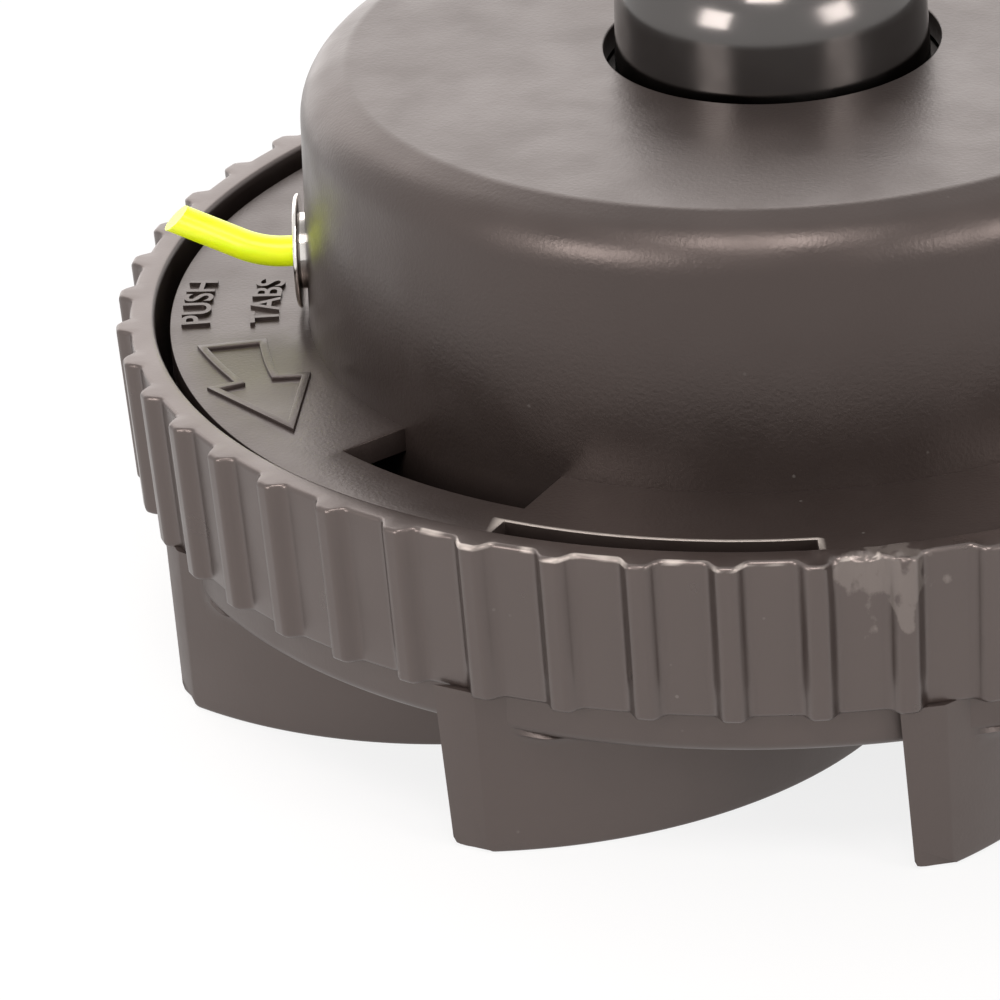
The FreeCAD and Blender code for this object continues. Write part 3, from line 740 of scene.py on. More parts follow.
@dataclass
class FanBase:
    """The base moulding: grip ring, floor, boss, fan vanes, latch hooks and lower stops."""

    finishes: Finishes
    pattern: RingPattern
    rib_count: int = 50
    rib_azimuth: float = 5.4
    rib_height: float = 0.0013
    crest_half: float = 0.0006
    foot_half: float = 0.0020
    ring_foot: float = 0.0165
    ring_inner: float = 0.0612
    draft: float = 0.0009
    edge: float = 0.0005
    soft: float = 0.0004
    floor_radius: float = 0.062
    floor_under: float = 0.0124
    floor_top: float = 0.0149
    floor_round: float = 0.0012
    boss_radius: float = 0.015
    boss_foot: float = 0.002
    bore: float = 0.00705
    guide_inner: float = 0.0465
    guide_outer: float = 0.0483
    guide_top: float = 0.0209
    vane_count: int = 9
    vane_azimuth: float = 232.5
    vane_start: float = 0.068
    vane_tip: float = 0.0634
    vane_inner: float = 0.0275
    vane_sweep: float = 63.0
    vane_curve: float = 0.0417
    vane_thickness: float = 0.0018
    vane_taper: float = 0.00015
    vane_draft: float = 0.0003
    vane_corner: float = 0.0008
    vane_root: float = 0.0018
    vane_levels: tuple[float, ...] = (0.0060, 0.0023, 0.0016, 0.0010)
    hook_azimuth: float = 230.85
    hook_half: float = 8.0
    hook_radii: Point = (0.0489, 0.0509)
    nose_radii: Point = (0.0505, 0.0528)
    nose_foot: float = 0.0241
    hook_top: float = 0.0265
    stop_azimuth: float = 89.0
    stop_half: float = 7.0
    stop_radii: Point = (0.0297, 0.0363)
    stop_top: float = 0.0175
    sunk: float = 0.0005
    wear_azimuth: float = 276.0
    wear_reach: float = 0.0060
    wear_depth: float = 0.0008
    wear_noise: float = 700.0
    # Noise, and arc in degrees, of the painted highlights on the ring's top edge.
    highlight_noise: float = 420.0
    highlit_and_scuffed: Point = (238.0, 277.0)
    crest_radius: float = field(init=False)
    ring_top: float = field(init=False)

    def __post_init__(self) -> None:
        """Take the ring's reach and height from the frame."""
        low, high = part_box("fan_base")
        self.crest_radius = high.y
        self.ring_top = high.z

    def build(self) -> Obj:
        """Build the whole moulding, dressed and riding on the housing.

        Returns:
            The base.
        """
        parts = [self._ring(), self._floor(), self._vanes(), self._latches()]
        base = join("fan_base_moulding", parts)
        smooth_by_angle(base, 38.0)
        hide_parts("fan_base")
        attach(base, HOUSING)
        return base

    def _wave(self, arc: float) -> float:
        """Return the rib's share of its full height at an arc length from its middle."""
        share = clamp((self.foot_half - abs(arc)) / (self.foot_half - self.crest_half))
        return share * share * (3 - 2 * share)

    def _ring_section(self) -> list[Point]:
        """Return the ring's outer section as (inset from the crest line, height).

        Returns:
            The points, from the foot up.
        """
        steps = 5
        turn = quarter(steps)
        low, high = self.ring_foot + self.edge, self.ring_top - self.edge
        foot = [(self.edge * (1 - cos), low - self.edge * sin) for sin, cos in turn]
        wall = [(0.0, low + (high - low) * step / steps) for step in range(1, steps)]
        top = [(self.edge * (1 - cos), high + self.edge * sin) for sin, cos in turn]
        return foot[::-1] + wall + top

    def _ring(self) -> Obj:
        """Build the grip ring: one rib's sector, repeated round the axis.

        Returns:
            The ring.
        """
        inner = rounded_outline([
            (self.crest_radius - self.rib_height - 2.5 * self.edge, self.ring_top, 0.0),
            (self.ring_inner, self.ring_top, self.edge),
            (self.ring_inner, self.floor_top - self.edge, 0.0),
            (self.floor_radius - self.edge, self.ring_foot, 0.0),
        ])
        columns = 24
        loops = []
        for column in range(columns + 1):
            azimuth = 360.0 / self.rib_count * (column / columns - 0.5)
            wave = self._wave(math.radians(azimuth) * self.crest_radius)
            loop = []
            for inset, height in self._ring_section():
                rise = (height - self.ring_foot) / (self.ring_top - self.ring_foot)
                crest = self.crest_radius - self.draft * (1 - rise)
                loop.append(polar(crest - inset - self.rib_height * (1 - wave), azimuth, height))
            loops.append(loop + [polar(r, azimuth, z) for r, z in inner])
        ring = MeshDraft().skin(loops, closed=False, capped=False).finish("grip_ring")
        self.pattern.apply(ring, self.rib_count, self.rib_azimuth, self.finishes.ring, merge=2e-6)
        self._edge_highlight(ring)
        self._paint_edge_highlights(ring)
        return ring

    def _edge_highlight(self, ring: Obj) -> None:
        """Chew the top edge of the ring a little where it was pried.

        Args:
            ring: the grip ring.
        """
        middle = polar(self.crest_radius, self.wear_azimuth, self.ring_top)
        for vertex in ring.data.vertices:
            away = vertex.co - middle
            away.z *= 2.2
            share = clamp(1.3 - away.length / self.wear_reach)
            if share == 0.0:
                continue
            outward = Vector((vertex.co.x, vertex.co.y, 0)).normalized()
            bite = self.wear_depth * (0.25 + noise.noise(vertex.co * self.wear_noise))
            dent = share * max(0.0, bite)
            vertex.co -= outward * dent + UP * (0.8 * dent)

    def _paint_edge_highlights(self, ring: Obj) -> None:
        """Paint highlights in spots along the ring's upper outer edge, as marks on the mesh.

        Args:
            ring: the grip ring.
        """
        marks = ring.data.attributes.new("edge_highlight", "FLOAT", "POINT")
        first, last = self.highlit_and_scuffed
        outside = self.crest_radius - self.rib_height - 1.2 * self.edge
        for vertex in ring.data.vertices:
            drop = (self.ring_top - vertex.co.z) / self.edge
            on_edge = 0.02 < drop < 0.8 and vertex.co.xy.length > outside
            if on_edge and first < azimuth_of(vertex.co) % 360.0 < last:
                # Painted highlight: pale spots where the noise is high.
                mark = 4.0 * noise.noise(vertex.co * self.highlight_noise)
                marks.data[vertex.index].value = clamp(mark)

    def _floor(self) -> Obj:
        """Build the floor with its rim, boss and guide wall.

        Returns:
            The floor.
        """
        rim, joint = self.ring_inner + self.edge, self.ring_foot + self.edge
        return MeshDraft().lathe(rounded_outline([
            (self.bore, self.boss_foot, self.soft),
            (self.boss_radius, self.boss_foot, self.soft * 2),
            (self.boss_radius, self.floor_under, self.soft * 4),
            (self.floor_radius, self.floor_under, self.floor_round),
            (self.floor_radius, joint, 0.0),
            (rim, joint, 0.0),
            (rim, self.floor_top, 0.0),
            (self.guide_outer, self.floor_top, 0.0),
            (self.guide_outer, self.guide_top, self.soft),
            (self.guide_inner, self.guide_top, self.soft),
            (self.guide_inner, self.floor_top, 0.0),
            (self.bore, self.floor_top, 0.0),
        ])).finish("base_floor", self.finishes.vanes)

    def _vane_tip(self, centre: Vector, radius: float, height: float, near: float) -> float:
        """Return the angle about a vane's centre where an arc meets the drafted, rounded tip.

        Args:
            centre: the middle of the vane's arcs.
            radius: the arc's radius.
            height: height above the vane's lower edge.
            near: an angle close to the wanted one.

        Returns:
            The angle in radians.
        """
        reach = self.vane_tip - self.vane_draft * (1 - height / self.ring_foot)
        lift = max(0.0, self.vane_corner - height)
        reach -= self.vane_corner - math.sqrt(self.vane_corner ** 2 - lift ** 2)
        offset = centre.length
        bearing = math.atan2(centre.y, centre.x)
        spread = math.acos((reach ** 2 - offset ** 2 - radius ** 2) / (2 * radius * offset))
        return min((bearing + spread, bearing - spread),
                   key=lambda angle: abs(math.remainder(angle - near, TAU)))

    def _vane_section(self) -> list[Triple]:
        """Return the vane's section as (depth from its front face, height, side).

        Returns:
            The points, down the front face and up the back.
        """
        under = [(self.soft * (1 - sin), self.soft * (1 - cos)) for sin, cos in quarter(4)]
        root = [self.floor_under - self.vane_root * (1 - cos) for _, cos in quarter(6)]
        front = [(0.0, level, -1.0) for level in (self.ring_foot, *root, *self.vane_levels)]
        front += [(u, z, -1.0) for u, z in reversed(under)]
        return front + [(self.vane_thickness - u, z, 1.0) for u, z, _ in reversed(front)]

    def _root_width(self, height: float, reach: float) -> float:
        """Return how much the fillet under the floor widens a vane on one side.

        Args:
            height: height above the vane's lower edge.
            reach: distance from the spin axis.

        Returns:
            The added width in metres.
        """
        drop = min(self.vane_root, max(0.0, self.floor_under - height))
        width = self.vane_root - math.sqrt(self.vane_root ** 2 - (self.vane_root - drop) ** 2)
        return width * clamp((self.floor_radius - 0.0002 - reach) / 0.0015)

    def _vanes(self) -> Obj:
        """Build the fan vanes: one curved vane, repeated round the axis.

        Returns:
            The vanes.
        """
        start = polar(self.vane_start, 0.0)
        inner = polar(self.vane_inner, self.vane_sweep)
        chord = inner - start
        across = Vector((-chord.y, chord.x, 0)).normalized()
        depth = math.sqrt(self.vane_curve ** 2 - chord.length_squared / 4)
        centre = (start + inner) / 2 + across * depth
        first, last = (math.atan2(end.y - centre.y, end.x - centre.x) for end in (start, inner))
        rim_width = self.floor_radius - self.ring_inner
        sink = self.ring_foot - self.floor_under - 0.001
        stations = 56
        loops: list[list[Vector]] = []
        for station in range(stations + 1):
            share = (station / stations) ** 1.3
            loop = []
            for u, z, side in self._vane_section():
                radius = self.vane_curve - u + side * self.vane_taper * (1 - z / self.ring_foot)
                tip = self._vane_tip(centre, radius, z, first)
                angle = tip + (last - tip) * share
                ray = Vector((math.cos(angle), math.sin(angle), 0))
                reach = (centre + ray * radius).length
                if z == self.ring_foot:
                    buried = clamp((self.floor_radius - reach) / rim_width)
                    z = self.ring_foot + self.edge / 2 - buried * sink
                elif z > self.floor_under - self.vane_root:
                    radius -= side * self._root_width(z, reach)
                loop.append(centre + ray * radius + UP * z)
            loops.append(loop)
        vane = MeshDraft().skin(loops, closed=False).finish("fan_vane")
        return self.pattern.apply(vane, self.vane_count, self.vane_azimuth, self.finishes.vanes)

    def _latches(self) -> Obj:
        """Build the latch hooks and the lower feed stops inside the base.

        Returns:
            The hooks and stops as one object.
        """
        foot = self.floor_top - self.sunk
        arc = (-self.hook_half, self.hook_half)
        draft = MeshDraft().sector(self.hook_radii, arc, (foot, self.hook_top))
        draft.sector(self.nose_radii, arc, (self.nose_foot, self.hook_top))
        hooks = draft.finish("latch_hooks")
        self.pattern.apply(hooks, 2, self.hook_azimuth, self.finishes.vanes)
        arc = (-self.stop_half, self.stop_half)
        draft = MeshDraft().sector(self.stop_radii, arc, (foot, self.stop_top))
        stops = draft.finish("lower_stops")
        self.pattern.apply(stops, 4, self.stop_azimuth, self.finishes.vanes)
        return join("latches_and_stops", [hooks, stops])


@dataclass
class SpoolCover:
    """The cover moulding: plate with latch windows and slots, hub cup and skirt."""

    finishes: Finishes
    pattern: RingPattern
    plate_radius: float = 0.0598
    plate_top: float = 0.0312
    plate_thickness: float = 0.0024
    plate_rings: Point = (0.0475, 0.0505)
    skirt: float = 0.0022
    skirt_foot: float = 0.01495
    hub_foot: float = 0.0462
    hub_shoulder: float = 0.0456
    hub_flat: float = 0.0410
    shoulder_drop: float = 0.0020
    cup: float = 0.0430
    roof: float = 0.0024
    hole: float = 0.0162
    spigot_foot: float = 0.0173
    window_middle: float = 230.85
    window_half: float = 11.95
    window_outer: float = 0.0534
    slot_middle: float = 257.3
    slot_half: float = 15.0
    slot_inner: float = 0.0564
    slot_depth: float = 0.007
    catch_depth: float = 0.007
    catch_wall: float = 0.0018
    catch_nose: float = 0.0022
    nose_height: float = 0.002
    stop_radii: Point = (0.0197, 0.0263)
    stop_arc: Point = (-7.0, 7.0)
    stop_foot: float = 0.0517
    edge: float = 0.0004
    hub_top: float = field(init=False)
    plate_under: float = field(init=False)

    def __post_init__(self) -> None:
        """Take the hub's height from the frame."""
        self.hub_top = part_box("spool_cover")[1].z
        self.plate_under = self.plate_top - self.plate_thickness

    def build(self) -> Obj:
        """Build the whole cover, dressed and riding on the housing.

        Returns:
            The cover.
        """
        parts = [self._hub(), self._plate(), self._skirt(), self._catches()]
        cover = join("spool_cover_moulding", parts)
        smooth_by_angle(cover, 38.0)
        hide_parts("spool_cover")
        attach(cover, HOUSING)
        return cover

    def _hub(self) -> Obj:
        """Build the hub cup with its shoulder, knob hole and spigot.

        Returns:
            The hub cup.
        """
        under = self.hub_top - self.roof
        outline = rounded_outline([
            (self.hole, under, 0.0),
            (self.hole, self.hub_top, 0.0002),
            (self.hub_flat, self.hub_top, 0.0020),
            (self.hub_shoulder, self.hub_top - self.shoulder_drop, 0.0050),
            (self.hub_foot, self.plate_top, 0.0),
            (self.hub_foot, self.spigot_foot, 0.0),
            (self.cup, self.spigot_foot, 0.0),
            (self.cup, under, 0.002),
        ], steps=10)
        return MeshDraft().lathe(outline, segments=320).finish("hub_cup", self.finishes.cover)

    def _in_cut(self, azimuth: float, radius: float) -> bool:
        """Tell whether a point of the plate lies in a latch window or slot.

        Args:
            azimuth: the point's azimuth in degrees.
            radius: its distance from the axis.

        Returns:
            True inside a cut.
        """
        for middle, half, low, high in (
            (self.window_middle, self.window_half, self.hub_foot - 0.001, self.window_outer),
            (self.slot_middle, self.slot_half, self.slot_inner, 1.0),
        ):
            turn = math.remainder(azimuth - middle, 180.0)
            if abs(turn) < half and low < radius < high:
                return True
        return False

    def _spokes(self) -> list[float]:
        """Return the azimuths of the plate's grid: every degree, and both ends of each cut.

        Returns:
            The azimuths, in order.
        """
        marks = set(spokes(360))
        for middle, half in ((self.window_middle, self.window_half),
                             (self.slot_middle, self.slot_half)):
            for turn in (0.0, 180.0):
                marks |= {round((middle + turn + end) % 360.0, 4) for end in (-half, half)}
        return sorted(marks)

    def _grid_block(self, radii: Sequence[float], low: float, high: float) -> MeshDraft:
        """Draft a round slab between two heights, open where the cuts are.

        Args:
            radii: the radii of the slab's grid, from its inner to its outer edge.
            low: the slab's lower height.
            high: the slab's upper height.

        Returns:
            The draft.
        """
        draft = MeshDraft()
        turns = self._spokes()
        count = len(turns)
        verts: dict[tuple[int, int, float], bmesh.types.BMVert] = {}

        def vert(spoke: int, ring: int, height: float) -> bmesh.types.BMVert:
            """Build the grid's vertex, made on first use.

            Args:
                spoke: the number of its azimuth.
                ring: the number of its radius.
                height: its height.

            Returns:
                The vertex.
            """
            key = (spoke % count, ring, height)
            if key not in verts:
                verts[key] = draft.bm.verts.new(polar(radii[ring], turns[spoke % count], height))
            return verts[key]

        def solid(spoke: int, ring: int) -> bool:
            """Tell whether a cell of the grid is filled.

            Args:
                spoke: the number of its first azimuth.
                ring: the number of its first radius.

            Returns:
                True for a filled cell.
            """
            if not 0 <= ring < len(radii) - 1:
                return False
            start = turns[spoke % count]
            width = (turns[(spoke + 1) % count] - start) % 360.0
            return not self._in_cut(start + width / 2, (radii[ring] + radii[ring + 1]) / 2)

        for spoke in range(count):
            for ring in range(len(radii) - 1):
                if not solid(spoke, ring):
                    continue
                cell = [(spoke, ring), (spoke, ring + 1), (spoke + 1, ring + 1), (spoke + 1, ring)]
                draft.bm.faces.new([vert(*corner, high) for corner in cell])
                draft.bm.faces.new([vert(*corner, low) for corner in reversed(cell)])
                beside = ((spoke - 1, ring), (spoke, ring + 1),
                          (spoke + 1, ring), (spoke, ring - 1))
                for other, first, second in zip(beside, cell, cell[1:] + cell[:1]):
                    if not solid(*other):
                        draft.bm.faces.new((vert(*first, low), vert(*second, low),
                                            vert(*second, high), vert(*first, high)))
        return draft

    def _plate(self) -> Obj:
        """Build the plate with its latch windows and slots.

        Returns:
            The plate.
        """
        radii = (self.hub_foot - 0.0008, *self.plate_rings, self.window_outer,
                 self.slot_inner - self.edge, self.slot_inner, self.plate_radius)
        draft = self._grid_block(radii, self.plate_under, self.plate_top)
        plate = draft.finish("cover_plate", self.finishes.cover)
        soften_edges(plate, self.edge, segments=3, degrees=40.0)
        self._paint_slot_highlights(plate)
        return plate

    def _paint_slot_highlights(self, plate: Obj) -> None:
        """Paint a highlight along the upper edge of each slot, as a mark on the mesh.

        Args:
            plate: the cover's plate.
        """
        marks = plate.data.attributes.new("edge_highlight", "FLOAT", "POINT")
        for vertex in plate.data.vertices:
            turn = math.remainder(azimuth_of(vertex.co) - self.slot_middle, 180.0)
            apart = abs(math.hypot(vertex.co.x, vertex.co.y) - self.slot_inner)
            near = apart < 0.6 * self.edge and abs(turn) < self.slot_half + 0.5
            # Painted highlight: the full pale colour on the slot's upper edge.
            if near and self.plate_top - vertex.co.z < 0.18 * self.edge:
                marks.data[vertex.index].value = 1.0

    def _skirt(self) -> Obj:
        """Build the skirt under the plate's edge, lower where the slots are.

        Returns:
            The skirt.
        """
        radii = (self.plate_radius - self.skirt, self.plate_radius)
        slot_foot = self.plate_top - self.slot_depth
        draft = self._grid_block(radii, slot_foot, self.plate_under)
        for arc in ((0.0, 180.0), (180.0, 360.0)):
            draft.sector(radii, arc, (self.skirt_foot, slot_foot))
        return draft.finish("cover_skirt", self.finishes.cover)

    def _catches(self) -> Obj:
        """Build the catches beside the windows and the upper feed stops under the roof.

        Returns:
            The catches and stops as one object.
        """
        wall, under = self.window_outer, self.plate_under
        foot = under - self.catch_depth
        arc = (-self.window_half, self.window_half)
        radii = (wall - self.catch_nose, wall + self.catch_wall / 2)
        draft = MeshDraft().sector((wall, wall + self.catch_wall), arc, (foot, under + 0.001))
        draft.sector(radii, arc, (foot, foot + self.nose_height))
        catches = draft.finish("catches")
        self.pattern.apply(catches, 2, self.window_middle, self.finishes.cover)
        heights = (self.stop_foot, self.hub_top - self.roof / 2)
        stops = MeshDraft().sector(self.stop_radii, self.stop_arc, heights).finish("upper_stops")
        self.pattern.apply(stops, 4, 0.0, self.finishes.cover)
        return join("catches_and_stops", [catches, stops])


@dataclass
class CoverLegend:
    """The raised arrow and the two plain words beside a latch window."""

    finishes: Finishes
    plate_top: float = 0.0312
    height: float = 0.00035
    stroke: float = 0.0008
    arrow_tail: float = 188.9
    arrow_neck: float = 198.5
    arrow_tip: float = 212.0
    words: tuple[str, str] = ("PUSH", "TABS")
    word_radii: Point = (0.0558, 0.0491)
    word_size: float = 0.0029
    word_length: float = 0.0104
    word_middle: float = 178.6

    def build(self) -> Obj:
        """Build the legend as one piece that rides on the housing.

        Returns:
            The legend.
        """
        parts = [self._arrow()]
        parts += [self._word(text, radius) for text, radius in zip(self.words, self.word_radii)]
        legend = join("cover_legend", parts)
        smooth_by_angle(legend, 40.0)
        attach(legend, HOUSING)
        return legend

    def _arrow_outline(self) -> list[Point]:
        """Return the arrow's corners as (radius, azimuth), tail first.

        Returns:
            The corners.
        """
        tail, neck = self.arrow_tail, self.arrow_neck
        shares = [step / 6 for step in range(7)]
        far_side = [(0.0574 - 0.0019 * share, tail + (neck - tail) * share) for share in shares]
        near_side = [(0.0511 - 0.0005 * share, neck + (tail - neck) * share) for share in shares]
        point = [(0.0583, neck + 0.2), (0.0547, self.arrow_tip), (0.0481, neck + 1.0)]
        return far_side + point + near_side

    def _arrow(self) -> Obj:
        """Build the arrow as a raised outline.

        Returns:
            The arrow.
        """
        corners = [polar(radius, azimuth) for radius, azimuth in self._arrow_outline()]
        low, high = UP * (self.plate_top - self.height), UP * (self.plate_top + self.height)
        loops = []
        around = zip(corners[-1:] + corners, corners, corners[1:] + corners[:1])
        for before, corner, after in around:
            sides = ((corner - before).normalized(), (after - corner).normalized())
            normals = [Vector((-side.y, side.x, 0)) for side in sides]
            middle = (normals[0] + normals[1]).normalized()
            inside = corner + middle * (self.stroke / max(0.3, middle.dot(normals[0])))
            loops.append([inside + low, inside + high, corner + high, corner + low])
        arrow = MeshDraft().skin(loops, closed=True).finish("latch_arrow", self.finishes.cover)
        soften_edges(arrow, 0.00012)
        return arrow

    def _word(self, text: str, radius: float) -> Obj:
        """Return one raised word, with its letters' tops outward.

        Args:
            text: the word.
            radius: the radius of its foot line.

        Returns:
            The word as a mesh object.
        """
        curve = bpy.data.curves.new(f"word_{text.lower()}", "FONT")
        curve.body = text
        curve.size = self.word_size * 1.4
        curve.extrude = self.height
        curve.offset = 0.00006
        curve.space_character = 1.05
        maker = in_scene(curve.name, curve)
        mesh = evaluated_mesh(maker)
        bpy.data.objects.remove(maker)
        across, tall = ([vertex.co[axis] for vertex in mesh.vertices] for axis in (0, 1))
        for vertex in mesh.vertices:
            along = (vertex.co.x - min(across)) / (max(across) - min(across)) - 0.5
            rise = (vertex.co.y - min(tall)) / (max(tall) - min(tall))
            turn = -math.degrees(along * self.word_length / (radius + self.word_size / 2))
            vertex.co = polar(radius + rise * self.word_size, self.word_middle + turn,
                              self.plate_top + vertex.co.z)
        mesh.materials.clear()
        mesh.materials.append(self.finishes.cover)
        return in_scene(curve.name, mesh)


@dataclass
class BumpKnob:
    """The polished steel cap."""

    finishes: Finishes
    radius: float = 0.0152
    draft: float = 0.0005
    round_over: float = 0.0080
    soft: float = 0.0003
    flange_top: float = 0.0545
    bore: float = 0.01205
    bore_top: float = 0.06275

    def build(self) -> Obj:
        """Build the knob, riding on the feed unit.

        Returns:
            The knob.
        """
        low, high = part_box("bump_knob")
        outline = rounded_outline([
            (self.bore, low.z, self.soft),
            (high.x, low.z, self.soft),
            (high.x, self.flange_top, self.soft),
            (self.radius, self.flange_top, 0.0),
            (self.radius - self.draft, high.z, self.round_over),
            (0.0, high.z, 0.0),
            (0.0, self.bore_top, 0.0),
            (self.bore, self.bore_top, 0.0005),
        ], steps=24)
        top = next(index for index, (r, z) in enumerate(outline) if r == 0.0)
        path = outline[top + 1:] + outline[:top + 1]
        knob = MeshDraft().lathe_to_axis(path).finish("bump_knob_cap", self.finishes.knob)
        smooth_by_angle(knob, 35.0)
        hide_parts("bump_knob")
        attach(knob, FEED_UNIT)
        return knob


@dataclass
class LineOutlet:
    """One side's eyelet and the cut end of the line."""

    finishes: Finishes
    side: Side
    height: float = 0.0372
    bore: float = 0.00195
    barrel: float = 0.00335
    flange: float = 0.0056
    flange_back: float = 0.0465
    flange_face: float = 0.0473
    roll: float = 0.00038
    inner_face: float = 0.0420
    inner_wall: float = 0.0427
    inner_flange: float = 0.00435
    line_radius: float = 0.0015
    run_end: float = 0.0481
    bend: float = 26.0
    bend_radius: float = 0.010
    tail: float = 0.0092
    lift: float = 40.0
    cut_back: float = 0.0025

    def _name(self, piece: str) -> str:
        """Return a piece's name with its side."""
        return f"{piece}_{self.side.name.lower()}"

    def _turn(self) -> Matrix:
        """Return the turn that takes the right outlet to this side."""
        return Matrix.Rotation(math.radians(self.side.value), 4, "Z")

    def build(self) -> list[Obj]:
        """Return the eyelet and the line end, riding on the housing."""
        return [self._eyelet(), self._line()]

    def _eyelet(self) -> Obj:
        """Build the flanged eyelet, rolled at its mouth.

        Returns:
            The eyelet.
        """
        outline = rounded_outline([
            (self.bore, self.inner_face, 0.0003),
            (self.bore, self.flange_face, self.roll),
            (self.flange, self.flange_face - 0.0002, self.roll),
            (self.flange, self.flange_back + 0.0001, 0.0002),
            (self.barrel + 0.0004, self.flange_back, 0.0),
            (self.barrel, self.inner_wall, 0.0),
            (self.inner_flange, self.inner_wall, 0.0002),
            (self.inner_flange, self.inner_face, 0.0003),
        ], steps=8)
        lay = Matrix.Translation((0, 0, self.height)) @ Matrix.Rotation(math.pi / 2, 4, "Y")
        draft = MeshDraft().lathe(outline, segments=96).turn(self._turn() @ lay)
        eyelet = draft.finish(self._name("line_eyelet"), self.finishes.nickel)
        smooth_by_angle(eyelet, 40.0)
        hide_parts(self._name("eyelet"))
        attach(eyelet, HOUSING)
        return eyelet

    def _path(self) -> list[tuple[Vector, Vector]]:
        """Return points along the line with its direction there, for the right side.

        Returns:
            The (point, direction) pairs.
        """
        lift = math.radians(self.lift)
        sideways = Vector((0, -math.cos(lift), math.sin(lift)))
        ahead = Vector((1, 0, 0))
        start = Vector((self.inner_wall, 0, self.height))
        bend_start = Vector((self.run_end, 0, self.height))
        path = [(start, ahead), (start.lerp(bend_start, 0.5), ahead)]
        bend_steps, tail_steps = 14, 6
        for step in range(bend_steps + 1):
            angle = math.radians(self.bend) * step / bend_steps
            offset = ahead * math.sin(angle) + sideways * (1 - math.cos(angle))
            heading = ahead * math.cos(angle) + sideways * math.sin(angle)
            path.append((bend_start + offset * self.bend_radius, heading))
        end, heading = path[-1]
        for step in range(1, tail_steps + 1):
            path.append((end + heading * self.tail * step / tail_steps, heading))
        return path

    def _line(self) -> Obj:
        """Build the line's cut end, snipped at a slant.

        Returns:
            The line end.
        """
        segments = 40
        path = self._path()
        cut_point = path[-1][0] - Vector((self.cut_back, 0, 0))
        cut_normal = Vector((1, 0, 1)).normalized()
        loops = []
        for centre, heading in path:
            across = heading.cross(UP).normalized()
            upward = across.cross(heading)
            loop = []
            for angle in (TAU * segment / segments for segment in range(segments)):
                spoke = across * math.cos(angle) + upward * math.sin(angle)
                point = centre + spoke * self.line_radius
                past = (point - cut_point).dot(cut_normal)
                if past > 0:
                    point -= heading * (past / heading.dot(cut_normal))
                loop.append(point)
            loops.append(loop)
        draft = MeshDraft().skin(loops, closed=False)
        bmesh.ops.remove_doubles(draft.bm, verts=draft.bm.verts, dist=1e-6)
        line = draft.turn(self._turn()).finish(self._name("cut_line"), self.finishes.line)
        smooth_by_angle(line, 40.0)
        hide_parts(self._name("line_end"))
        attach(line, HOUSING)
        return line


@dataclass
class DriveThread:
    """The left-hand thread in the spindle's bore, seen from below."""

    finishes: Finishes
    foot: float = 0.0022
    length: float = 0.0185
    pitch: float = 0.00125
    root: float = 0.004475
    crest: float = 0.00425
    steps: int = 48

    def build(self) -> Obj:
        """Build the thread's ridge, riding on the housing.

        Returns:
            The ridge.
        """
        half = self.pitch * 0.42
        flat = half * 0.15
        section = ((self.root, -half), (self.crest, -flat), (self.crest, flat), (self.root, half))
        loops = []
        for index in range(int(self.length / self.pitch) * self.steps + 1):
            azimuth = -360.0 * index / self.steps
            level = self.foot + half + self.pitch * index / self.steps
            loops.append([polar(radius, azimuth, level + rise) for radius, rise in section])
        draft = MeshDraft().skin(loops, closed=False)
        thread = draft.finish("drive_thread_ridge", self.finishes.steel)
        smooth_by_angle(thread, 30.0)
        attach(thread, HOUSING)
        return thread


@dataclass
class FeedSpring:
    """The coil spring under the spool."""

    finishes: Finishes
    wire: float = 0.0016
    turns: int = 6
    travel: float = 0.0050
    steps: int = 40
    segments: int = 16

    def build(self) -> Obj:
        """Build the spring, standing on the housing's floor.

        Returns:
            The spring.
        """
        low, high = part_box("feed_spring")
        half = self.wire / 2
        reach = high.x - half
        rise = (high.z - low.z - self.wire) / self.turns
        angles = [TAU * segment / self.segments for segment in range(self.segments)]
        loops = []
        for index in range(self.turns * self.steps + 1):
            outward = polar(1.0, 360.0 * index / self.steps)
            along = Vector((-outward.y, outward.x, rise / (TAU * reach))).normalized()
            upward = outward.cross(along)
            centre = outward * reach + UP * (low.z + half + rise * index / self.steps)
            loops.append([centre + (outward * math.cos(angle) + upward * math.sin(angle)) * half
                          for angle in angles])
        draft = MeshDraft().skin(loops, closed=False)
        spring = draft.finish("feed_spring_coil", self.finishes.steel)
        smooth_by_angle(spring, 40.0)
        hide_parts("feed_spring")
        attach(spring, HOUSING)
        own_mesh(spring)
        return spring


@dataclass
class InnerPieces:
    """The frame's own nodes inside the head, which keep their shape."""

    finishes: Finishes

    def dress(self) -> None:
        """Give each inner node its finish."""
        looks = {
            "spool": self.finishes.spool,
            "winding_upper": self.finishes.line,
            "winding_lower": self.finishes.line,
            "spring_washer": self.finishes.steel,
            "drive_spindle": self.finishes.steel,
        }
        for name, material in looks.items():
            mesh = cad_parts[name].data
            mesh.materials.clear()
            mesh.materials.append(material)
            LOG.info("dressed %s", name)


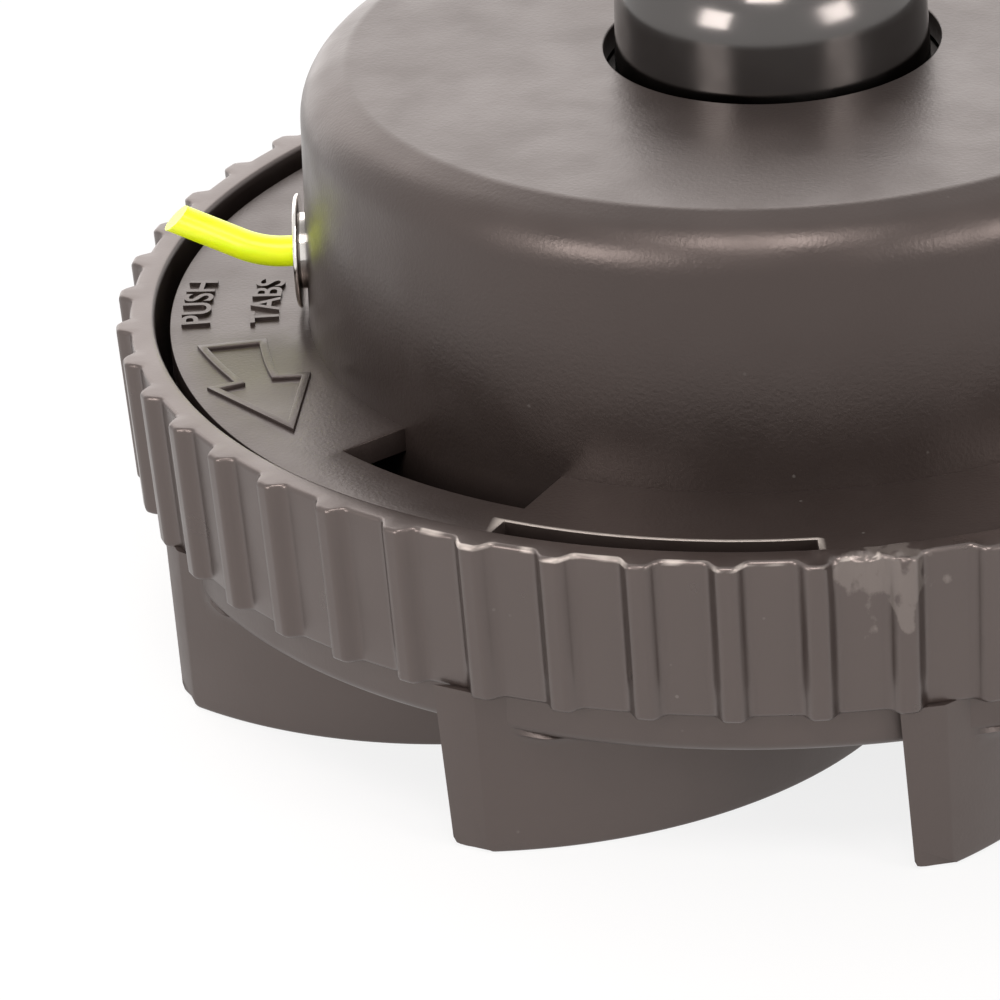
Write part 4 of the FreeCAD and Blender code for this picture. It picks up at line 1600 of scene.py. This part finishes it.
@dataclass
class Studio:
    """Floor, world, lamps and the camera of the photograph."""

    focal_pixels: float = 7000.0
    image_pixels: float = 1000.0
    sensor: float = 36.0
    place: Triple = (0.0, -0.6245, 0.3085)
    yaw: float = 2.636
    pitch: float = 25.569
    roll: float = -3.474
    tint: Triple = (1.0, 0.945, 0.915)
    bright_side: Triple = (-0.58, 0.80, 0.12)
    floor_reach: float = 0.30
    floor_grey: float = 0.86
    floor_share: float = 0.82
    aim: Triple = (0.0, 0.0, 0.03)

    def build(self) -> None:
        """Set the stage."""
        scene = bpy.context.scene
        scene.view_settings.view_transform = "Standard"
        self._world(scene)
        self._floor()
        self._lamp("box_left", (-0.44, -0.47, 0.30), 0.26, 1.7)
        self._lamp("box_right", (0.50, -0.41, 0.30), 0.26, 1.7)
        self._lamp("box_back", (-0.25, 0.73, 0.34), 1.0, 4.4)
        self._lamp("box_top", (-0.04, -0.34, 0.63), 0.26, 2.0)
        self._camera(scene)

    def _world(self, scene: bpy.types.Scene) -> None:
        """Light from behind and the left; the camera, gloss and clear pieces see white.

        Args:
            scene: the scene to light.
        """
        scene.world = bpy.data.worlds.new("soft_white")
        scene.world.use_nodes = True
        nodes = Nodes(scene.world.node_tree)
        towards = {0: nodes.node("ShaderNodeTexCoord").outputs["Generated"], 1: self.bright_side}
        share = nodes.node("ShaderNodeVectorMath", towards, operation="DOT_PRODUCT")
        level = nodes.ramp(share.outputs["Value"], (0.0, 0.85), (0.16, 2.2),
                           interpolation_type="SMOOTHSTEP")
        light = nodes.tree.nodes["Background"]
        nodes.feed(light, {"Color": (*self.tint, 1.0), "Strength": level})
        white = nodes.node("ShaderNodeBackground", {"Color": (1, 1, 1, 1)})
        nodes.show("World Output", nodes.plain_sight(), light, white)

    def _floor(self) -> None:
        """Lay a white floor that keeps a light shadow."""
        bm = bmesh.new()
        bmesh.ops.create_circle(bm, cap_ends=True, radius=self.floor_reach, segments=96)
        mesh = bpy.data.meshes.new("studio_floor")
        bm.to_mesh(mesh)
        bm.free()
        floor = in_scene("studio_floor", mesh)
        paint = Shader("studio_floor_white", (self.floor_grey,) * 3)
        mesh.materials.append(paint.shade({"Roughness": 0.9, "Specular IOR Level": 0.0}))
        white = paint.node("ShaderNodeEmission", {"Strength": 1.0})
        share = paint.math("MULTIPLY", paint.plain_sight(), self.floor_share)
        paint.show("Material Output", share, paint.bsdf, white)
        floor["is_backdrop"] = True

    def _lamp(self, name: str, place: Triple, size: float, power: float) -> None:
        """Add a soft square lamp that faces the head.

        Args:
            name: the lamp's name.
            place: where it hangs, in metres.
            size: its side in metres.
            power: its power in watts.
        """
        lamp = bpy.data.lights.new(name, "AREA")
        lamp.size = size
        lamp.energy = power
        lamp.color = self.tint
        holder = in_scene(name, lamp)
        holder.location = place
        aim = Vector(self.aim) - Vector(place)
        holder.rotation_euler = aim.to_track_quat("-Z", "Y").to_euler()

    def _camera(self, scene: bpy.types.Scene) -> None:
        """Set the camera that the photograph was fitted to.

        Args:
            scene: the scene to look at.
        """
        yaw, pitch, roll = (math.radians(angle) for angle in (self.yaw, self.pitch, self.roll))
        level = Vector((math.cos(yaw), math.sin(yaw), 0))
        ahead = Vector((-math.sin(yaw), math.cos(yaw), 0))
        forward = ahead * math.cos(pitch) - UP * math.sin(pitch)
        upright = level.cross(forward)
        right = level * math.cos(roll) + upright * math.sin(roll)
        up = upright * math.cos(roll) - level * math.sin(roll)
        lens = bpy.data.cameras.new("photo_camera")
        lens.sensor_width = self.sensor
        lens.lens = self.focal_pixels / self.image_pixels * self.sensor
        lens.clip_end = 20.0
        scene.camera = in_scene("photo_camera", lens)
        turn = Matrix((right, up, -forward)).transposed().to_4x4()
        scene.camera.matrix_world = Matrix.Translation(self.place) @ turn


def corners(box: Iterable[Iterable[float]]) -> list[list[float]]:
    """Return a box's two corners as plain lists."""
    return [[float(value) for value in corner] for corner in box]


def main() -> None:
    """Build every piece in order and note the object's box before and after."""
    logging.basicConfig(level=logging.INFO, format="%(name)s: %(message)s")
    cad_box = corners(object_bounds())
    finishes = Finishes()
    pattern = RingPattern()
    Studio().build()
    built = [
        FanBase(finishes, pattern).build(),
        SpoolCover(finishes, pattern).build(),
        CoverLegend(finishes).build(),
        BumpKnob(finishes).build(),
        DriveThread(finishes).build(),
        FeedSpring(finishes).build(),
    ]
    for side in Side:
        built += LineOutlet(finishes, side).build()
    InnerPieces(finishes).dress()
    for piece in built:
        LOG.info("%s: %d faces", piece.name, len(piece.data.polygons))
    visual_box = corners(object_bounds())


if __name__ == "__main__":
    main()
